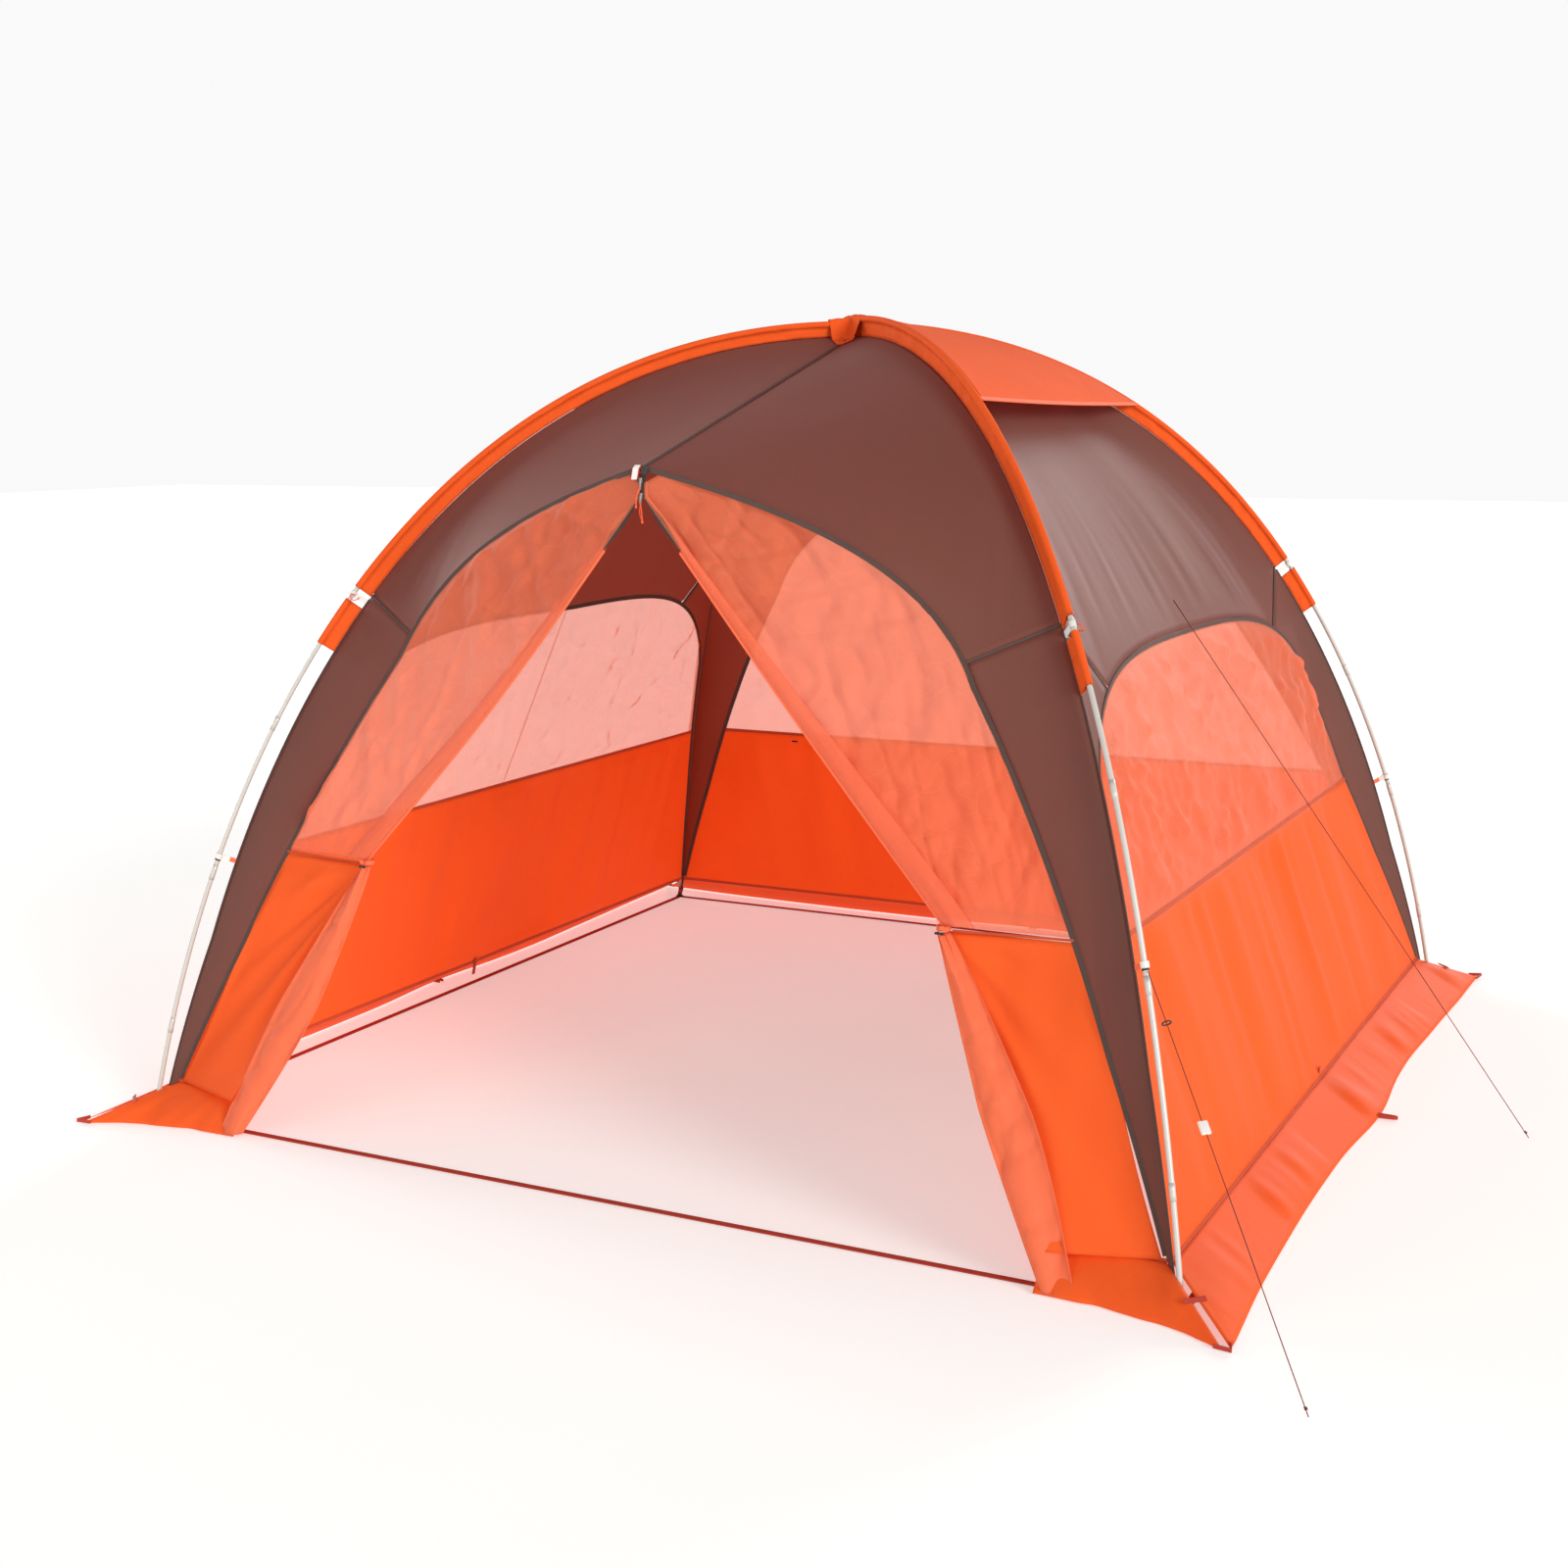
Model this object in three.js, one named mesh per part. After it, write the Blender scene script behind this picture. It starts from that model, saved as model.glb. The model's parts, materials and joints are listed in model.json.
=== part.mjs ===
// A square dome shelter: two poles cross at the crest and run down to four
// feet, a fabric body hangs inside them, and the front doors are tied open.
// Units are millimetres. +Z is up, the front door faces -Y, and the origin is
// on the ground at the middle of the plan.
import * as THREE from 'three';

// ---- Driving dimensions -------------------------------------------------
const FOOT_SPAN = 2900;            // pole foot to pole foot, along a side
const CREST = 2158;                // centre line of the upper pole where the poles cross
const FOOT_LINE = FOOT_SPAN / 2;   // each side of the plan, out from the middle
const POLE_RADIUS = 6.5;
const POLE_CROSSING_GAP = 0.6;     // daylight between the two poles at the crest
const POLE_SHOULDER = [0.6645, 1]; // Bezier handles, as shares of foot radius and crest
const POLE_KNEE = [0.9208, 0.3916];
const POLE_END_HEIGHT = 40;        // where the pole stops and its tip begins

const FABRIC = 3;                  // thickness of a stand-in cloth panel
const SEAM_EASE = 5;               // a panel stops this far short of its seam line
const MESH_EASE = 9;               // and a window's mesh this far
const CORNER_SEAM_DEPTH = 50;      // corner seam inside the pole's centre line
const CORNER_SEAM_DEPTH_FOOT = 20;
const CORNER_SEAM_TAPER_TOP = 500; // height where the depth begins to close in

const SLEEVE_WALL = 1.2;
const SLEEVE_EASE = 1.5;           // between the pole and its sleeve
const SLEEVE_START = 36;           // from the crest, along the diagonal
const SLEEVE_END_HEIGHT = 1432;
const SHORT_SLEEVE_TOP = 1402;
const SHORT_SLEEVE_BOTTOM = 1285;

const SHOULDER_SEAM = 1410;        // height on the corner seam where roof meets leg panel
const PEAK_INSET = 251;            // the door arch's peak, inside the foot line
const PEAK_DROP = 391;             // and below the crest
const DOOR_PEAK = [FOOT_LINE - PEAK_INSET, CREST - PEAK_DROP];
const ARCH_SPRING = 1266;          // height where the arch leaves the straight leg edge
const ARCH_CROWN_HANDLE = [470, -99, -127];
const ARCH_SPRING_HANDLE = [-107, -47, 234];
const ARCH_SHOULDER = 1320;        // shoulder seam's height on the door arch
const DOOR_FOOT_INSET = 24;        // door face at the ground, inside the foot line
const DOOR_FOOT_OUT = FOOT_LINE - DOOR_FOOT_INSET;
const DOOR_LEAN = 0.26;            // and how fast it leans in with height
const DOOR_FLANK_SLOPE = 0.195;    // leg panel's width on the door faces, per height
const TOE_WIDTH = 12;              // narrowest leg panel flank
const TOE_HEIGHT = 60;

const CROWN_INSET = 465;           // the side window's top, inside the foot line
const CROWN_HEIGHT = 1294;
const WINDOW_CROWN = [FOOT_LINE - CROWN_INSET, CROWN_HEIGHT];
const WINDOW_SPRING = 1000;
const WINDOW_CROWN_HANDLE = [620, 22, 10];
const WINDOW_SPRING_HANDLE = [-110, -70, 285];
const WINDOW_RISE_END = 0.3;       // beyond this share of the curve the window's top only falls
const WINDOW_SHOULDER = 1235;
const WINDOW_SHARE = 0.8;          // share of a side roof's lower edge that is the window's top
const SIDE_FLANK = 130;            // leg panel's width on the side faces
const SIDE_INSET = 60;             // side wall inside the corner seam
const SIDE_FULL_HEIGHT = 750;      // height above which both are full

const WALL_SEAM = 725;             // mesh above, solid cloth below
const BASE_SEAM = 90;              // solid wall above, skirt below

const SKIRT_REACH = 90;            // skirt's edge outside the foot line, at mid side
const SKIRT_CORNER_REACH = 140;    // and at its corners
const FRONT_SKIRT_REACH = 50;      // and beside the rolled doors
const SKIRT_CORNER_GAP = 12;
const HEM_LIFT = 0.1;              // daylight under a skirt's hem
const SKIRT_OUT = FOOT_LINE + SKIRT_REACH;
const SKIRT_CORNER = FOOT_LINE + SKIRT_CORNER_REACH;
const FRONT_SKIRT_OUT = FOOT_LINE + FRONT_SKIRT_REACH;

const VENT_START = 70;             // vent cover's near and far edges, along the diagonal
const VENT_END = 900;
const COVER_EASE = 1.5;            // between a sleeve and the vent cover

const DOOR_ROOF_EASE = [6, 5, 6, 5];
const SIDE_ROOF_EASE = [6, 6, 10, 5];

const TIP_BORE = 0.5;
const TIP_COLLAR = 9;
const TIP_NECK = 4;
const TIP_BALL = 5.5;
const TIP_LIFT = 2.2;              // ball's end above the webbing

const WEBBING_WIDTH = 20;
const WEBBING_THICKNESS = 2.5;

const TIE_INSET = [630, 180];      // where each door is tied back, inside the foot lines
const TIE_RISE = 15;               // and above the wall seam
const DOOR_TIE = [FOOT_LINE - TIE_INSET[0], FOOT_LINE - TIE_INSET[1], WALL_SEAM + TIE_RISE];
const ROLL_INSET = 300;            // where each rolled door stands, inside the corner
const ROLL_AHEAD = 42;             // and in front of the foot line
const ROLL_FOOT = [FOOT_LINE - ROLL_INSET, FOOT_LINE + ROLL_AHEAD];
const ROLL_RADII = [20, 40, 44, 40, 36];
const ROLL_LIFT = 0.5;             // roll's end above the webbing
const FRONT_SKIRT_EASE = 45;       // front skirt's inner edge beside the roll's centre
const FRONT_SKIRT_INNER = ROLL_FOOT[0] + FRONT_SKIRT_EASE;
const ZIP_CLOSED = 72;             // zip still closed below the peak
const DOOR_GAP = 3;                // between the two door halves
const DOOR_START = 66;             // length of the free edge that the closed zip takes
const PARTING_SHARE = 0.06;        // share of it down to where the halves part

const SLIDER = [9, 5, 13];
const SLIDER_DROPS = [30, 66];     // below the peak
const PULL = [6, 1.4, 22];
const PULL_TAPER = 3;
const PULL_HOLE = [5, 1.3];        // from the tag's end, and radius
const PULL_GAP = 0.6;

const TOGGLE_RADIUS = 3.5;
const TOGGLE_LENGTH = 24;
const TOGGLE_GAP = 3;              // between a roll and its toggle
const TOGGLE_DROP = 12;            // toggle below the tie
const BACK_TOGGLE_INSET = 12;      // the back wall's toggle, inside the wall
const BACK_TOGGLE_DROP = 25;       // and below the wall seam
const CLIP_HEIGHT = 714;
const CLIP_LENGTH = 14;
const CLIP_EASE = 0.9;             // between the pole and the hook
const CLIP_WALL = 2.6;
const CLIP_ARM = 30;
const CLIP_ARM_HALF = 4;           // half the arm's width

const LINE_RADIUS = 1.2;
const LINE_LIFT = 0.4;             // a line's end above the ground
const LINE_TOP_INSET = 23;         // a side guyline's top, inside the window's crown
const LINE_TOP_RISE = 90;          // and above it
const RIGHT_LINE_FOOT = [FOOT_LINE + 510, 0];
const LEFT_LINE_FOOT = [-FOOT_LINE - 265, 200];
const CORNER_LINE_REACH = 494;     // the corner guyline's foot beyond the pole's foot
const CORNER_LINE_GAP = 6;         // between a leg clip and the corner guyline
const CORNER_LINE_DROP = 10;
const RING_RADIUS = 10;
const RING_WIRE = 2;
const RING_SHARE = 0.13;           // of the corner guyline, from its top
const LOCK = [22, 7, 30];
const LOCK_SHARE = 0.38;
const LOCK_EASE = 0.6;             // between the line and the lock's bore

// ---- Plan and profile ---------------------------------------------------
const ROOT2 = Math.SQRT2;
const FOOT_RADIUS = FOOT_SPAN / ROOT2;
const HALF_STATIONS = 22;
const POLE_SIDES = 10;
const CORNERS = [
  { name: 'front_right', x: 1, y: -1, crest: CREST },
  { name: 'back_left', x: -1, y: 1, crest: CREST },
  { name: 'front_left', x: -1, y: -1, crest: CREST - 2 * POLE_RADIUS - POLE_CROSSING_GAP },
  { name: 'back_right', x: 1, y: 1, crest: CREST - 2 * POLE_RADIUS - POLE_CROSSING_GAP },
];
const [FRONT_RIGHT, BACK_LEFT, FRONT_LEFT, BACK_RIGHT] = CORNERS;

const vec = (x, y, z) => new THREE.Vector3(x, y, z);
const mix = (a, b, t) => a + (b - a) * t;
const between = (a, b, t) => a.clone().lerp(b, t);

function bezier(points, t) {
  const s = 1 - t;
  const weights = [s * s * s, 3 * s * s * t, 3 * s * t * t, t * t * t];
  return points[0].map((_, i) => points.reduce((sum, p, k) => sum + weights[k] * p[i], 0));
}

// The parameter at which one coordinate of a falling curve reaches a value.
function solve(curve, index, value) {
  let low = 0;
  let high = 1;
  for (let i = 0; i < 50; i += 1) {
    const middle = (low + high) / 2;
    if (curve(middle)[index] > value) low = middle;
    else high = middle;
  }
  return (low + high) / 2;
}

// Half an arch, from the crest (t = 0) to the foot (t = 1), as [radius, height].
function polePoint(t, crest = CREST) {
  const shoulder = [POLE_SHOULDER[0] * FOOT_RADIUS, POLE_SHOULDER[1] * crest];
  const knee = [POLE_KNEE[0] * FOOT_RADIUS, POLE_KNEE[1] * crest];
  return bezier([[0, crest], shoulder, knee, [FOOT_RADIUS, 0]], t);
}

function poleTangent(t, crest) {
  const step = 1e-4;
  const a = polePoint(Math.max(t - step, 0), crest);
  const b = polePoint(Math.min(t + step, 1), crest);
  const length = Math.hypot(b[0] - a[0], b[1] - a[1]);
  return [(b[0] - a[0]) / length, (b[1] - a[1]) / length];
}

function seamPoint(t) {
  const [r, z] = polePoint(t);
  const [tr, tz] = poleTangent(t);
  const share = Math.min(Math.max(z, 0) / CORNER_SEAM_TAPER_TOP, 1);
  const depth = mix(CORNER_SEAM_DEPTH_FOOT, CORNER_SEAM_DEPTH, share);
  return [r + tz * depth, z - tr * depth];
}

const poleParameter = (height, crest) => solve((t) => polePoint(t, crest), 1, height);
const seamParameter = (height) => solve(seamPoint, 1, height);
const seamReach = (height) => seamPoint(seamParameter(height))[0] / ROOT2;
const radiusParameter = (radius) => 1 - solve((t) => polePoint(1 - t), 0, radius);
const onDiagonal = (corner, [r, z]) => vec((corner.x * r) / ROOT2, (corner.y * r) / ROOT2, z);

// A face's own coordinates: along the face, out from the middle, and up.
const FACES = {
  front: (along, out, z) => vec(along, -out, z),
  back: (along, out, z) => vec(along, out, z),
  left: (along, out, z) => vec(-out, along, z),
  right: (along, out, z) => vec(out, along, z),
};

// Inner edge of a leg panel on a door face, as [along, out, height].
function doorFlank(z) {
  const width = Math.max(DOOR_FLANK_SLOPE * z, TOE_WIDTH);
  return [seamReach(z) - width, DOOR_FOOT_OUT - DOOR_LEAN * z, z];
}

function arch(t) {
  const crown = [0, DOOR_PEAK[0], DOOR_PEAK[1]];
  const spring = doorFlank(ARCH_SPRING);
  const crownHandle = crown.map((c, i) => c + ARCH_CROWN_HANDLE[i]);
  const springHandle = spring.map((c, i) => c + ARCH_SPRING_HANDLE[i]);
  return bezier([crown, crownHandle, springHandle, spring], t);
}

const doorEdge = (z) => (z < ARCH_SPRING ? doorFlank(z) : arch(solve(arch, 2, z)));

// Inner edge of a leg panel on a side face.
function sideFlank(z) {
  const share = Math.min(z / SIDE_FULL_HEIGHT, 1);
  const reach = seamReach(z);
  return [reach - Math.max(SIDE_FLANK * share, TOE_WIDTH), reach - SIDE_INSET * share, z];
}

function windowTop(t) {
  const crown = [0, WINDOW_CROWN[0], WINDOW_CROWN[1]];
  const spring = sideFlank(WINDOW_SPRING);
  const crownHandle = crown.map((c, i) => c + WINDOW_CROWN_HANDLE[i]);
  const springHandle = spring.map((c, i) => c + WINDOW_SPRING_HANDLE[i]);
  return bezier([crown, crownHandle, springHandle, spring], t);
}

// The window's top rises a little before it falls, so its edge is solved from the side.
const windowFall = (t) => windowTop(mix(WINDOW_RISE_END, 1, t));
const windowSolve = (z) => mix(WINDOW_RISE_END, 1, solve(windowFall, 2, z));
const sideEdge = (z) => (z < WINDOW_SPRING ? sideFlank(z) : windowTop(windowSolve(z)));

// ---- Closed bodies ------------------------------------------------------
// Turns points and polygons into one closed body whose faces point out.
function closedBody(points, triangles) {
  const volume = triangles.reduce((sum, [a, b, c]) => {
    const cross = points[b].clone().cross(points[c]);
    return sum + points[a].dot(cross);
  }, 0);
  const order = volume < 0 ? triangles.map(([a, b, c]) => [a, c, b]) : triangles;
  const geometry = new THREE.BufferGeometry();
  const positions = points.flatMap((p) => [p.x, p.y, p.z]);
  geometry.setAttribute('position', new THREE.Float32BufferAttribute(positions, 3));
  geometry.setIndex(order.flat());
  geometry.computeVertexNormals();
  return geometry;
}

// Joins rings of equal length and closes both ends with a flat outline.
function loft(rings, outline) {
  const count = outline.length;
  const triangles = [];
  for (let k = 0; k + 1 < rings.length; k += 1) {
    for (let i = 0; i < count; i += 1) {
      const j = (i + 1) % count;
      const [a, b] = [k * count + i, k * count + j];
      triangles.push([a, b, b + count], [a, b + count, a + count]);
    }
  }
  const last = (rings.length - 1) * count;
  THREE.ShapeUtils.triangulateShape(outline, []).forEach(([a, b, c]) => {
    triangles.push([a, c, b], [last + a, last + b, last + c]);
  });
  return closedBody(rings.flat(), triangles);
}

const ringOutline = (radius, sides) => Array.from({ length: sides }, (_, i) => {
  const angle = (2 * Math.PI * (i + 0.5)) / sides;
  return new THREE.Vector2(radius * Math.cos(angle), radius * Math.sin(angle));
});

// Gives a surface a thickness and stops it short of its four edges.
function clothPanel(surface, columns, rows, ease = [SEAM_EASE, SEAM_EASE, SEAM_EASE, SEAM_EASE]) {
  const span = (a, b) => surface(...a).distanceTo(surface(...b));
  const width = (v) => span([0, v], [0.5, v]) + span([0.5, v], [1, v]);
  const height = (u) => span([u, 0], [u, 0.5]) + span([u, 0.5], [u, 1]);
  const grid = [];
  for (let j = 0; j <= rows; j += 1) {
    for (let i = 0; i <= columns; i += 1) {
      const u = i / columns;
      const v = j / rows;
      const across = mix(ease[0] / width(v), 1 - ease[1] / width(v), u);
      grid.push(surface(across, mix(ease[2] / height(u), 1 - ease[3] / height(u), v)));
    }
  }
  const at = (i, j) => j * (columns + 1) + i;
  const clamp = (value, top) => Math.min(Math.max(value, 0), top);
  const normals = grid.map((_, index) => {
    const i = index % (columns + 1);
    const j = Math.floor(index / (columns + 1));
    const du = grid[at(clamp(i + 1, columns), j)].clone().sub(grid[at(clamp(i - 1, columns), j)]);
    const dv = grid[at(i, clamp(j + 1, rows))].clone().sub(grid[at(i, clamp(j - 1, rows))]);
    return du.cross(dv).normalize().multiplyScalar(FABRIC / 2);
  });
  const outer = grid.map((p, k) => p.clone().add(normals[k]));
  const inner = grid.map((p, k) => p.clone().sub(normals[k]));
  const under = grid.length;
  const triangles = [];
  for (let j = 0; j < rows; j += 1) {
    for (let i = 0; i < columns; i += 1) {
      const [a, b, c, d] = [at(i, j), at(i + 1, j), at(i + 1, j + 1), at(i, j + 1)];
      triangles.push([a, b, c], [a, c, d], [under + a, under + c, under + b]);
      triangles.push([under + a, under + d, under + c]);
    }
  }
  const rim = [];
  for (let i = 0; i < columns; i += 1) rim.push(at(i, 0));
  for (let j = 0; j < rows; j += 1) rim.push(at(columns, j));
  for (let i = columns; i > 0; i -= 1) rim.push(at(i, rows));
  for (let j = rows; j > 0; j -= 1) rim.push(at(0, j));
  rim.forEach((a, k) => {
    const b = rim[(k + 1) % rim.length];
    triangles.push([a, under + a, under + b], [a, under + b, b]);
  });
  return closedBody([...outer, ...inner], triangles);
}

// A surface filled between four curves that meet at its corners.
function filledBetween(bottom, top, left, right) {
  return (u, v) => {
    const ruled = between(bottom(u), top(u), v).add(between(left(v), right(v), u));
    const plane = between(between(left(0), right(0), u), between(left(1), right(1), u), v);
    return ruled.sub(plane);
  };
}

const flatShape = (points) => new THREE.Shape(points.map(([x, y]) => new THREE.Vector2(x, y)));

// A round hole for a flat shape.
function roundHole(x, y, radius, sides) {
  return new THREE.Path(ringOutline(radius, sides).map((p) => new THREE.Vector2(p.x + x, p.y + y)));
}

// A straight line of cord between two points.
function cordLine(from, to) {
  const shape = new THREE.Shape(ringOutline(LINE_RADIUS, 8));
  const path = new THREE.LineCurve3(from, to);
  return new THREE.ExtrudeGeometry(shape, { steps: 1, bevelEnabled: false, extrudePath: path });
}

// Turns an object so that its own axis points along a direction.
function aim(mesh, axis, direction, position) {
  mesh.quaternion.setFromUnitVectors(axis, direction.clone().normalize());
  mesh.position.copy(position);
  return mesh;
}

// ---- Finishes -----------------------------------------------------------
const FINISHES = {
  pole: { color: 0xe6e5e1, roughness: 0.35, metalness: 0.6 },
  tip: { color: 0x2b2a29, roughness: 0.5, metalness: 0 },
  sleeve: { color: 0xf4622f, roughness: 0.8, metalness: 0 },
  roof: { color: 0x6f4e45, roughness: 0.75, metalness: 0 },
  wall: { color: 0xfb6d43, roughness: 0.8, metalness: 0 },
  mesh: { color: 0xf2a18d, roughness: 0.9, metalness: 0 },
  webbing: { color: 0xb03a2a, roughness: 0.9, metalness: 0 },
  clip: { color: 0xf1efe9, roughness: 0.5, metalness: 0 },
  metal: { color: 0x8f8c88, roughness: 0.4, metalness: 0.9 },
  cord: { color: 0x8c3b2c, roughness: 0.9, metalness: 0 },
  ring: { color: 0x3a3836, roughness: 0.5, metalness: 0 },
};

const shelter = new THREE.Group();

function add(name, geometry, finish) {
  const mesh = new THREE.Mesh(geometry, new THREE.MeshStandardMaterial(FINISHES[finish]));
  mesh.name = name;
  shelter.add(mesh);
  return mesh;
}

// ---- Poles, tips and sleeves --------------------------------------------
// Every ring of a pole and its sleeve is cut at the same stations.
function stations(crest) {
  const list = Array.from({ length: HALF_STATIONS }, (_, k) => k / HALF_STATIONS);
  const heights = [SLEEVE_END_HEIGHT, SHORT_SLEEVE_TOP, SHORT_SLEEVE_BOTTOM, CLIP_HEIGHT];
  list.push(radiusParameter(SLEEVE_START), ...heights.map((h) => poleParameter(h, crest)));
  const end = poleParameter(POLE_END_HEIGHT, crest);
  return [...list.filter((t) => t < end), end].sort((a, b) => a - b);
}

// A ring of a section drawn across the pole: x sideways, y away from the tent.
function poleRing(corner, t, outline) {
  const centre = onDiagonal(corner, polePoint(t, corner.crest));
  const [tr, tz] = poleTangent(t, corner.crest);
  const out = onDiagonal(corner, [-tz, tr]);
  const sideways = vec(-corner.y, corner.x, 0).normalize();
  return outline.map((p) => centre.clone().addScaledVector(sideways, p.x).addScaledVector(out, p.y));
}

function addPoles() {
  const outline = ringOutline(POLE_RADIUS, POLE_SIDES);
  const mirrored = outline.map((p) => new THREE.Vector2(-p.x, p.y));
  const pairs = [
    ['arch_pole_upper', FRONT_RIGHT, BACK_LEFT],
    ['arch_pole_lower', FRONT_LEFT, BACK_RIGHT],
  ];
  pairs.forEach(([name, near, far]) => {
    const list = stations(near.crest);
    const nearRings = list.map((t) => poleRing(near, t, outline)).reverse();
    const farRings = list.slice(1).map((t) => poleRing(far, t, mirrored));
    add(name, loft([...nearRings, ...farRings], outline), 'pole');
  });
}

function addPoleTips() {
  CORNERS.forEach((corner) => {
    const t = poleParameter(POLE_END_HEIGHT, corner.crest);
    const [tr, tz] = poleTangent(t, corner.crest);
    const down = onDiagonal(corner, [tr, tz]);
    const end = onDiagonal(corner, polePoint(t, corner.crest));
    const reach = (end.z - WEBBING_THICKNESS) / -tz;
    const ball = reach - TIP_LIFT;
    const profile = [[0, TIP_BORE], [POLE_RADIUS, TIP_BORE], [POLE_RADIUS, TIP_COLLAR],
      [TIP_NECK, TIP_COLLAR + 2], [TIP_NECK, ball - 7], [TIP_BALL, ball - 5],
      [TIP_NECK, ball - 0.3], [0, ball]];
    const points = profile.map(([x, y]) => new THREE.Vector2(x, y));
    const tip = add(`pole_tip_${corner.name}`, new THREE.LatheGeometry(points, 10), 'tip');
    aim(tip, vec(0, 1, 0), down, end);
  });
}

// A strip of cloth folded round the pole and sewn to itself as a flat fin.
function sleeveOutline(finDepth) {
  const inner = POLE_RADIUS + SLEEVE_EASE;
  const outer = inner + SLEEVE_WALL;
  const slit = 0.2;
  const fin = slit + SLEEVE_WALL;
  const arc = (radius, half, count) => Array.from({ length: count }, (_, k) => {
    const start = -Math.PI / 2 + Math.asin(half / radius);
    const angle = mix(start, Math.PI - start, k / (count - 1));
    return new THREE.Vector2(radius * Math.cos(angle), radius * Math.sin(angle));
  });
  return [
    new THREE.Vector2(fin, -finDepth), ...arc(outer, fin, 11), new THREE.Vector2(-fin, -finDepth),
    new THREE.Vector2(-slit, -finDepth), ...arc(inner, slit, 10).reverse(),
    new THREE.Vector2(slit, -finDepth),
  ];
}

function addSleeve(name, corner, from, to) {
  const list = [from, ...stations(corner.crest).filter((t) => t > from + 1e-6 && t < to - 1e-6), to];
  const rings = list.map((t) => {
    const pole = polePoint(t, corner.crest);
    const seam = seamPoint(seamParameter(pole[1] - CORNER_SEAM_DEPTH * poleTangent(t)[0]));
    const depth = Math.hypot(pole[0] - seam[0], pole[1] - seam[1]) - SEAM_EASE;
    return poleRing(corner, t, sleeveOutline(depth));
  });
  add(name, loft(rings, sleeveOutline(CORNER_SEAM_DEPTH)), 'sleeve');
}

function addSleeves() {
  CORNERS.forEach((corner) => {
    const at = (height) => poleParameter(height, corner.crest);
    addSleeve(`sleeve_${corner.name}`, corner, radiusParameter(SLEEVE_START), at(SLEEVE_END_HEIGHT));
    addSleeve(`short_sleeve_${corner.name}`, corner, at(SHORT_SLEEVE_TOP), at(SHORT_SLEEVE_BOTTOM));
  });
}

// ---- Roof ---------------------------------------------------------------
const roofStart = radiusParameter(SLEEVE_START);
const shoulder = seamParameter(SHOULDER_SEAM);
const cornerSeam = (corner) => (s) => onDiagonal(corner, seamPoint(mix(roofStart, shoulder, s)));

// One half of the roof over a door, between its ridge and a corner seam.
function doorRoof(face, side) {
  const corner = CORNERS.find((c) => c.x === side && c.y === (face === 'front' ? -1 : 1));
  const place = (p) => FACES[face](side * p[0], p[1], p[2]);
  const last = solve(arch, 2, ARCH_SHOULDER);
  const peak = place(arch(0));
  const seam = cornerSeam(corner);
  const ridge = (s) => between(seam(0), peak, s);
  const edge = (s) => place(arch(s * last));
  const hem = (s) => between(seam(1), place(arch(last)), s);
  return filledBetween(ridge, hem, seam, edge);
}

// The roof over a side window, from the crest down to the window's top.
function sideRoof(side) {
  const front = cornerSeam(CORNERS.find((c) => c.x === side && c.y === -1));
  const back = cornerSeam(CORNERS.find((c) => c.x === side && c.y === 1));
  const face = FACES[side > 0 ? 'right' : 'left'];
  const last = windowSolve(WINDOW_SHOULDER);
  const hem = (s) => {
    const reach = Math.abs(2 * s - 1);
    const way = s < 0.5 ? -1 : 1;
    const p = windowTop(last * Math.min(reach / WINDOW_SHARE, 1));
    const edge = face(way * p[0], p[1], p[2]);
    if (reach <= WINDOW_SHARE) return edge;
    return between(edge, (s < 0.5 ? front : back)(1), (reach - WINDOW_SHARE) / (1 - WINDOW_SHARE));
  };
  return filledBetween((s) => between(front(0), back(0), s), hem, front, back);
}

function addRoof() {
  [['front', -1], ['front', 1], ['back', -1], ['back', 1]].forEach(([face, side]) => {
    const name = `${face}_roof_${side > 0 ? 'right' : 'left'}`;
    add(name, clothPanel(doorRoof(face, side), 7, 9, DOOR_ROOF_EASE), 'roof');
  });
  [-1, 1].forEach((side) => {
    const name = `side_roof_${side > 0 ? 'right' : 'left'}`;
    add(name, clothPanel(sideRoof(side), 10, 9, SIDE_ROOF_EASE), 'roof');
  });
}

// The cover stretched between two sleeves over the roof's vent.
function addVentCovers() {
  const ease = POLE_RADIUS + SLEEVE_EASE + SLEEVE_WALL + COVER_EASE;
  const first = radiusParameter(VENT_START);
  const last = radiusParameter(VENT_END);
  [-1, 1].forEach((side) => {
    const edge = (corner) => (s) => {
      const p = onDiagonal(corner, polePoint(mix(first, last, s), corner.crest));
      return p.add(vec(side, -corner.y, 0).normalize().multiplyScalar(ease));
    };
    const front = edge(CORNERS.find((c) => c.x === side && c.y === -1));
    const back = edge(CORNERS.find((c) => c.x === side && c.y === 1));
    const surface = (u, v) => between(front(v), back(v), u);
    add(`vent_cover_${side > 0 ? 'right' : 'left'}`, clothPanel(surface, 3, 9, [0, 0, 0, 0]), 'sleeve');
  });
}

// ---- Leg panels, walls and windows --------------------------------------
function addLegPanels() {
  CORNERS.forEach((corner) => {
    const door = FACES[corner.y < 0 ? 'front' : 'back'];
    const side = FACES[corner.x < 0 ? 'left' : 'right'];
    const surface = (u, v) => {
      const seam = onDiagonal(corner, seamPoint(seamParameter(mix(SHOULDER_SEAM, TOE_HEIGHT, v))));
      const d = doorEdge(mix(ARCH_SHOULDER, TOE_HEIGHT, v));
      const s = sideEdge(mix(WINDOW_SHOULDER, TOE_HEIGHT, v));
      if (u < 0.5) return between(door(corner.x * d[0], d[1], d[2]), seam, 2 * u);
      return between(seam, side(corner.y * s[0], s[1], s[2]), 2 * u - 1);
    };
    add(`leg_panel_${corner.name}`, clothPanel(surface, 4, 11), 'roof');
  });
}

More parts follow.
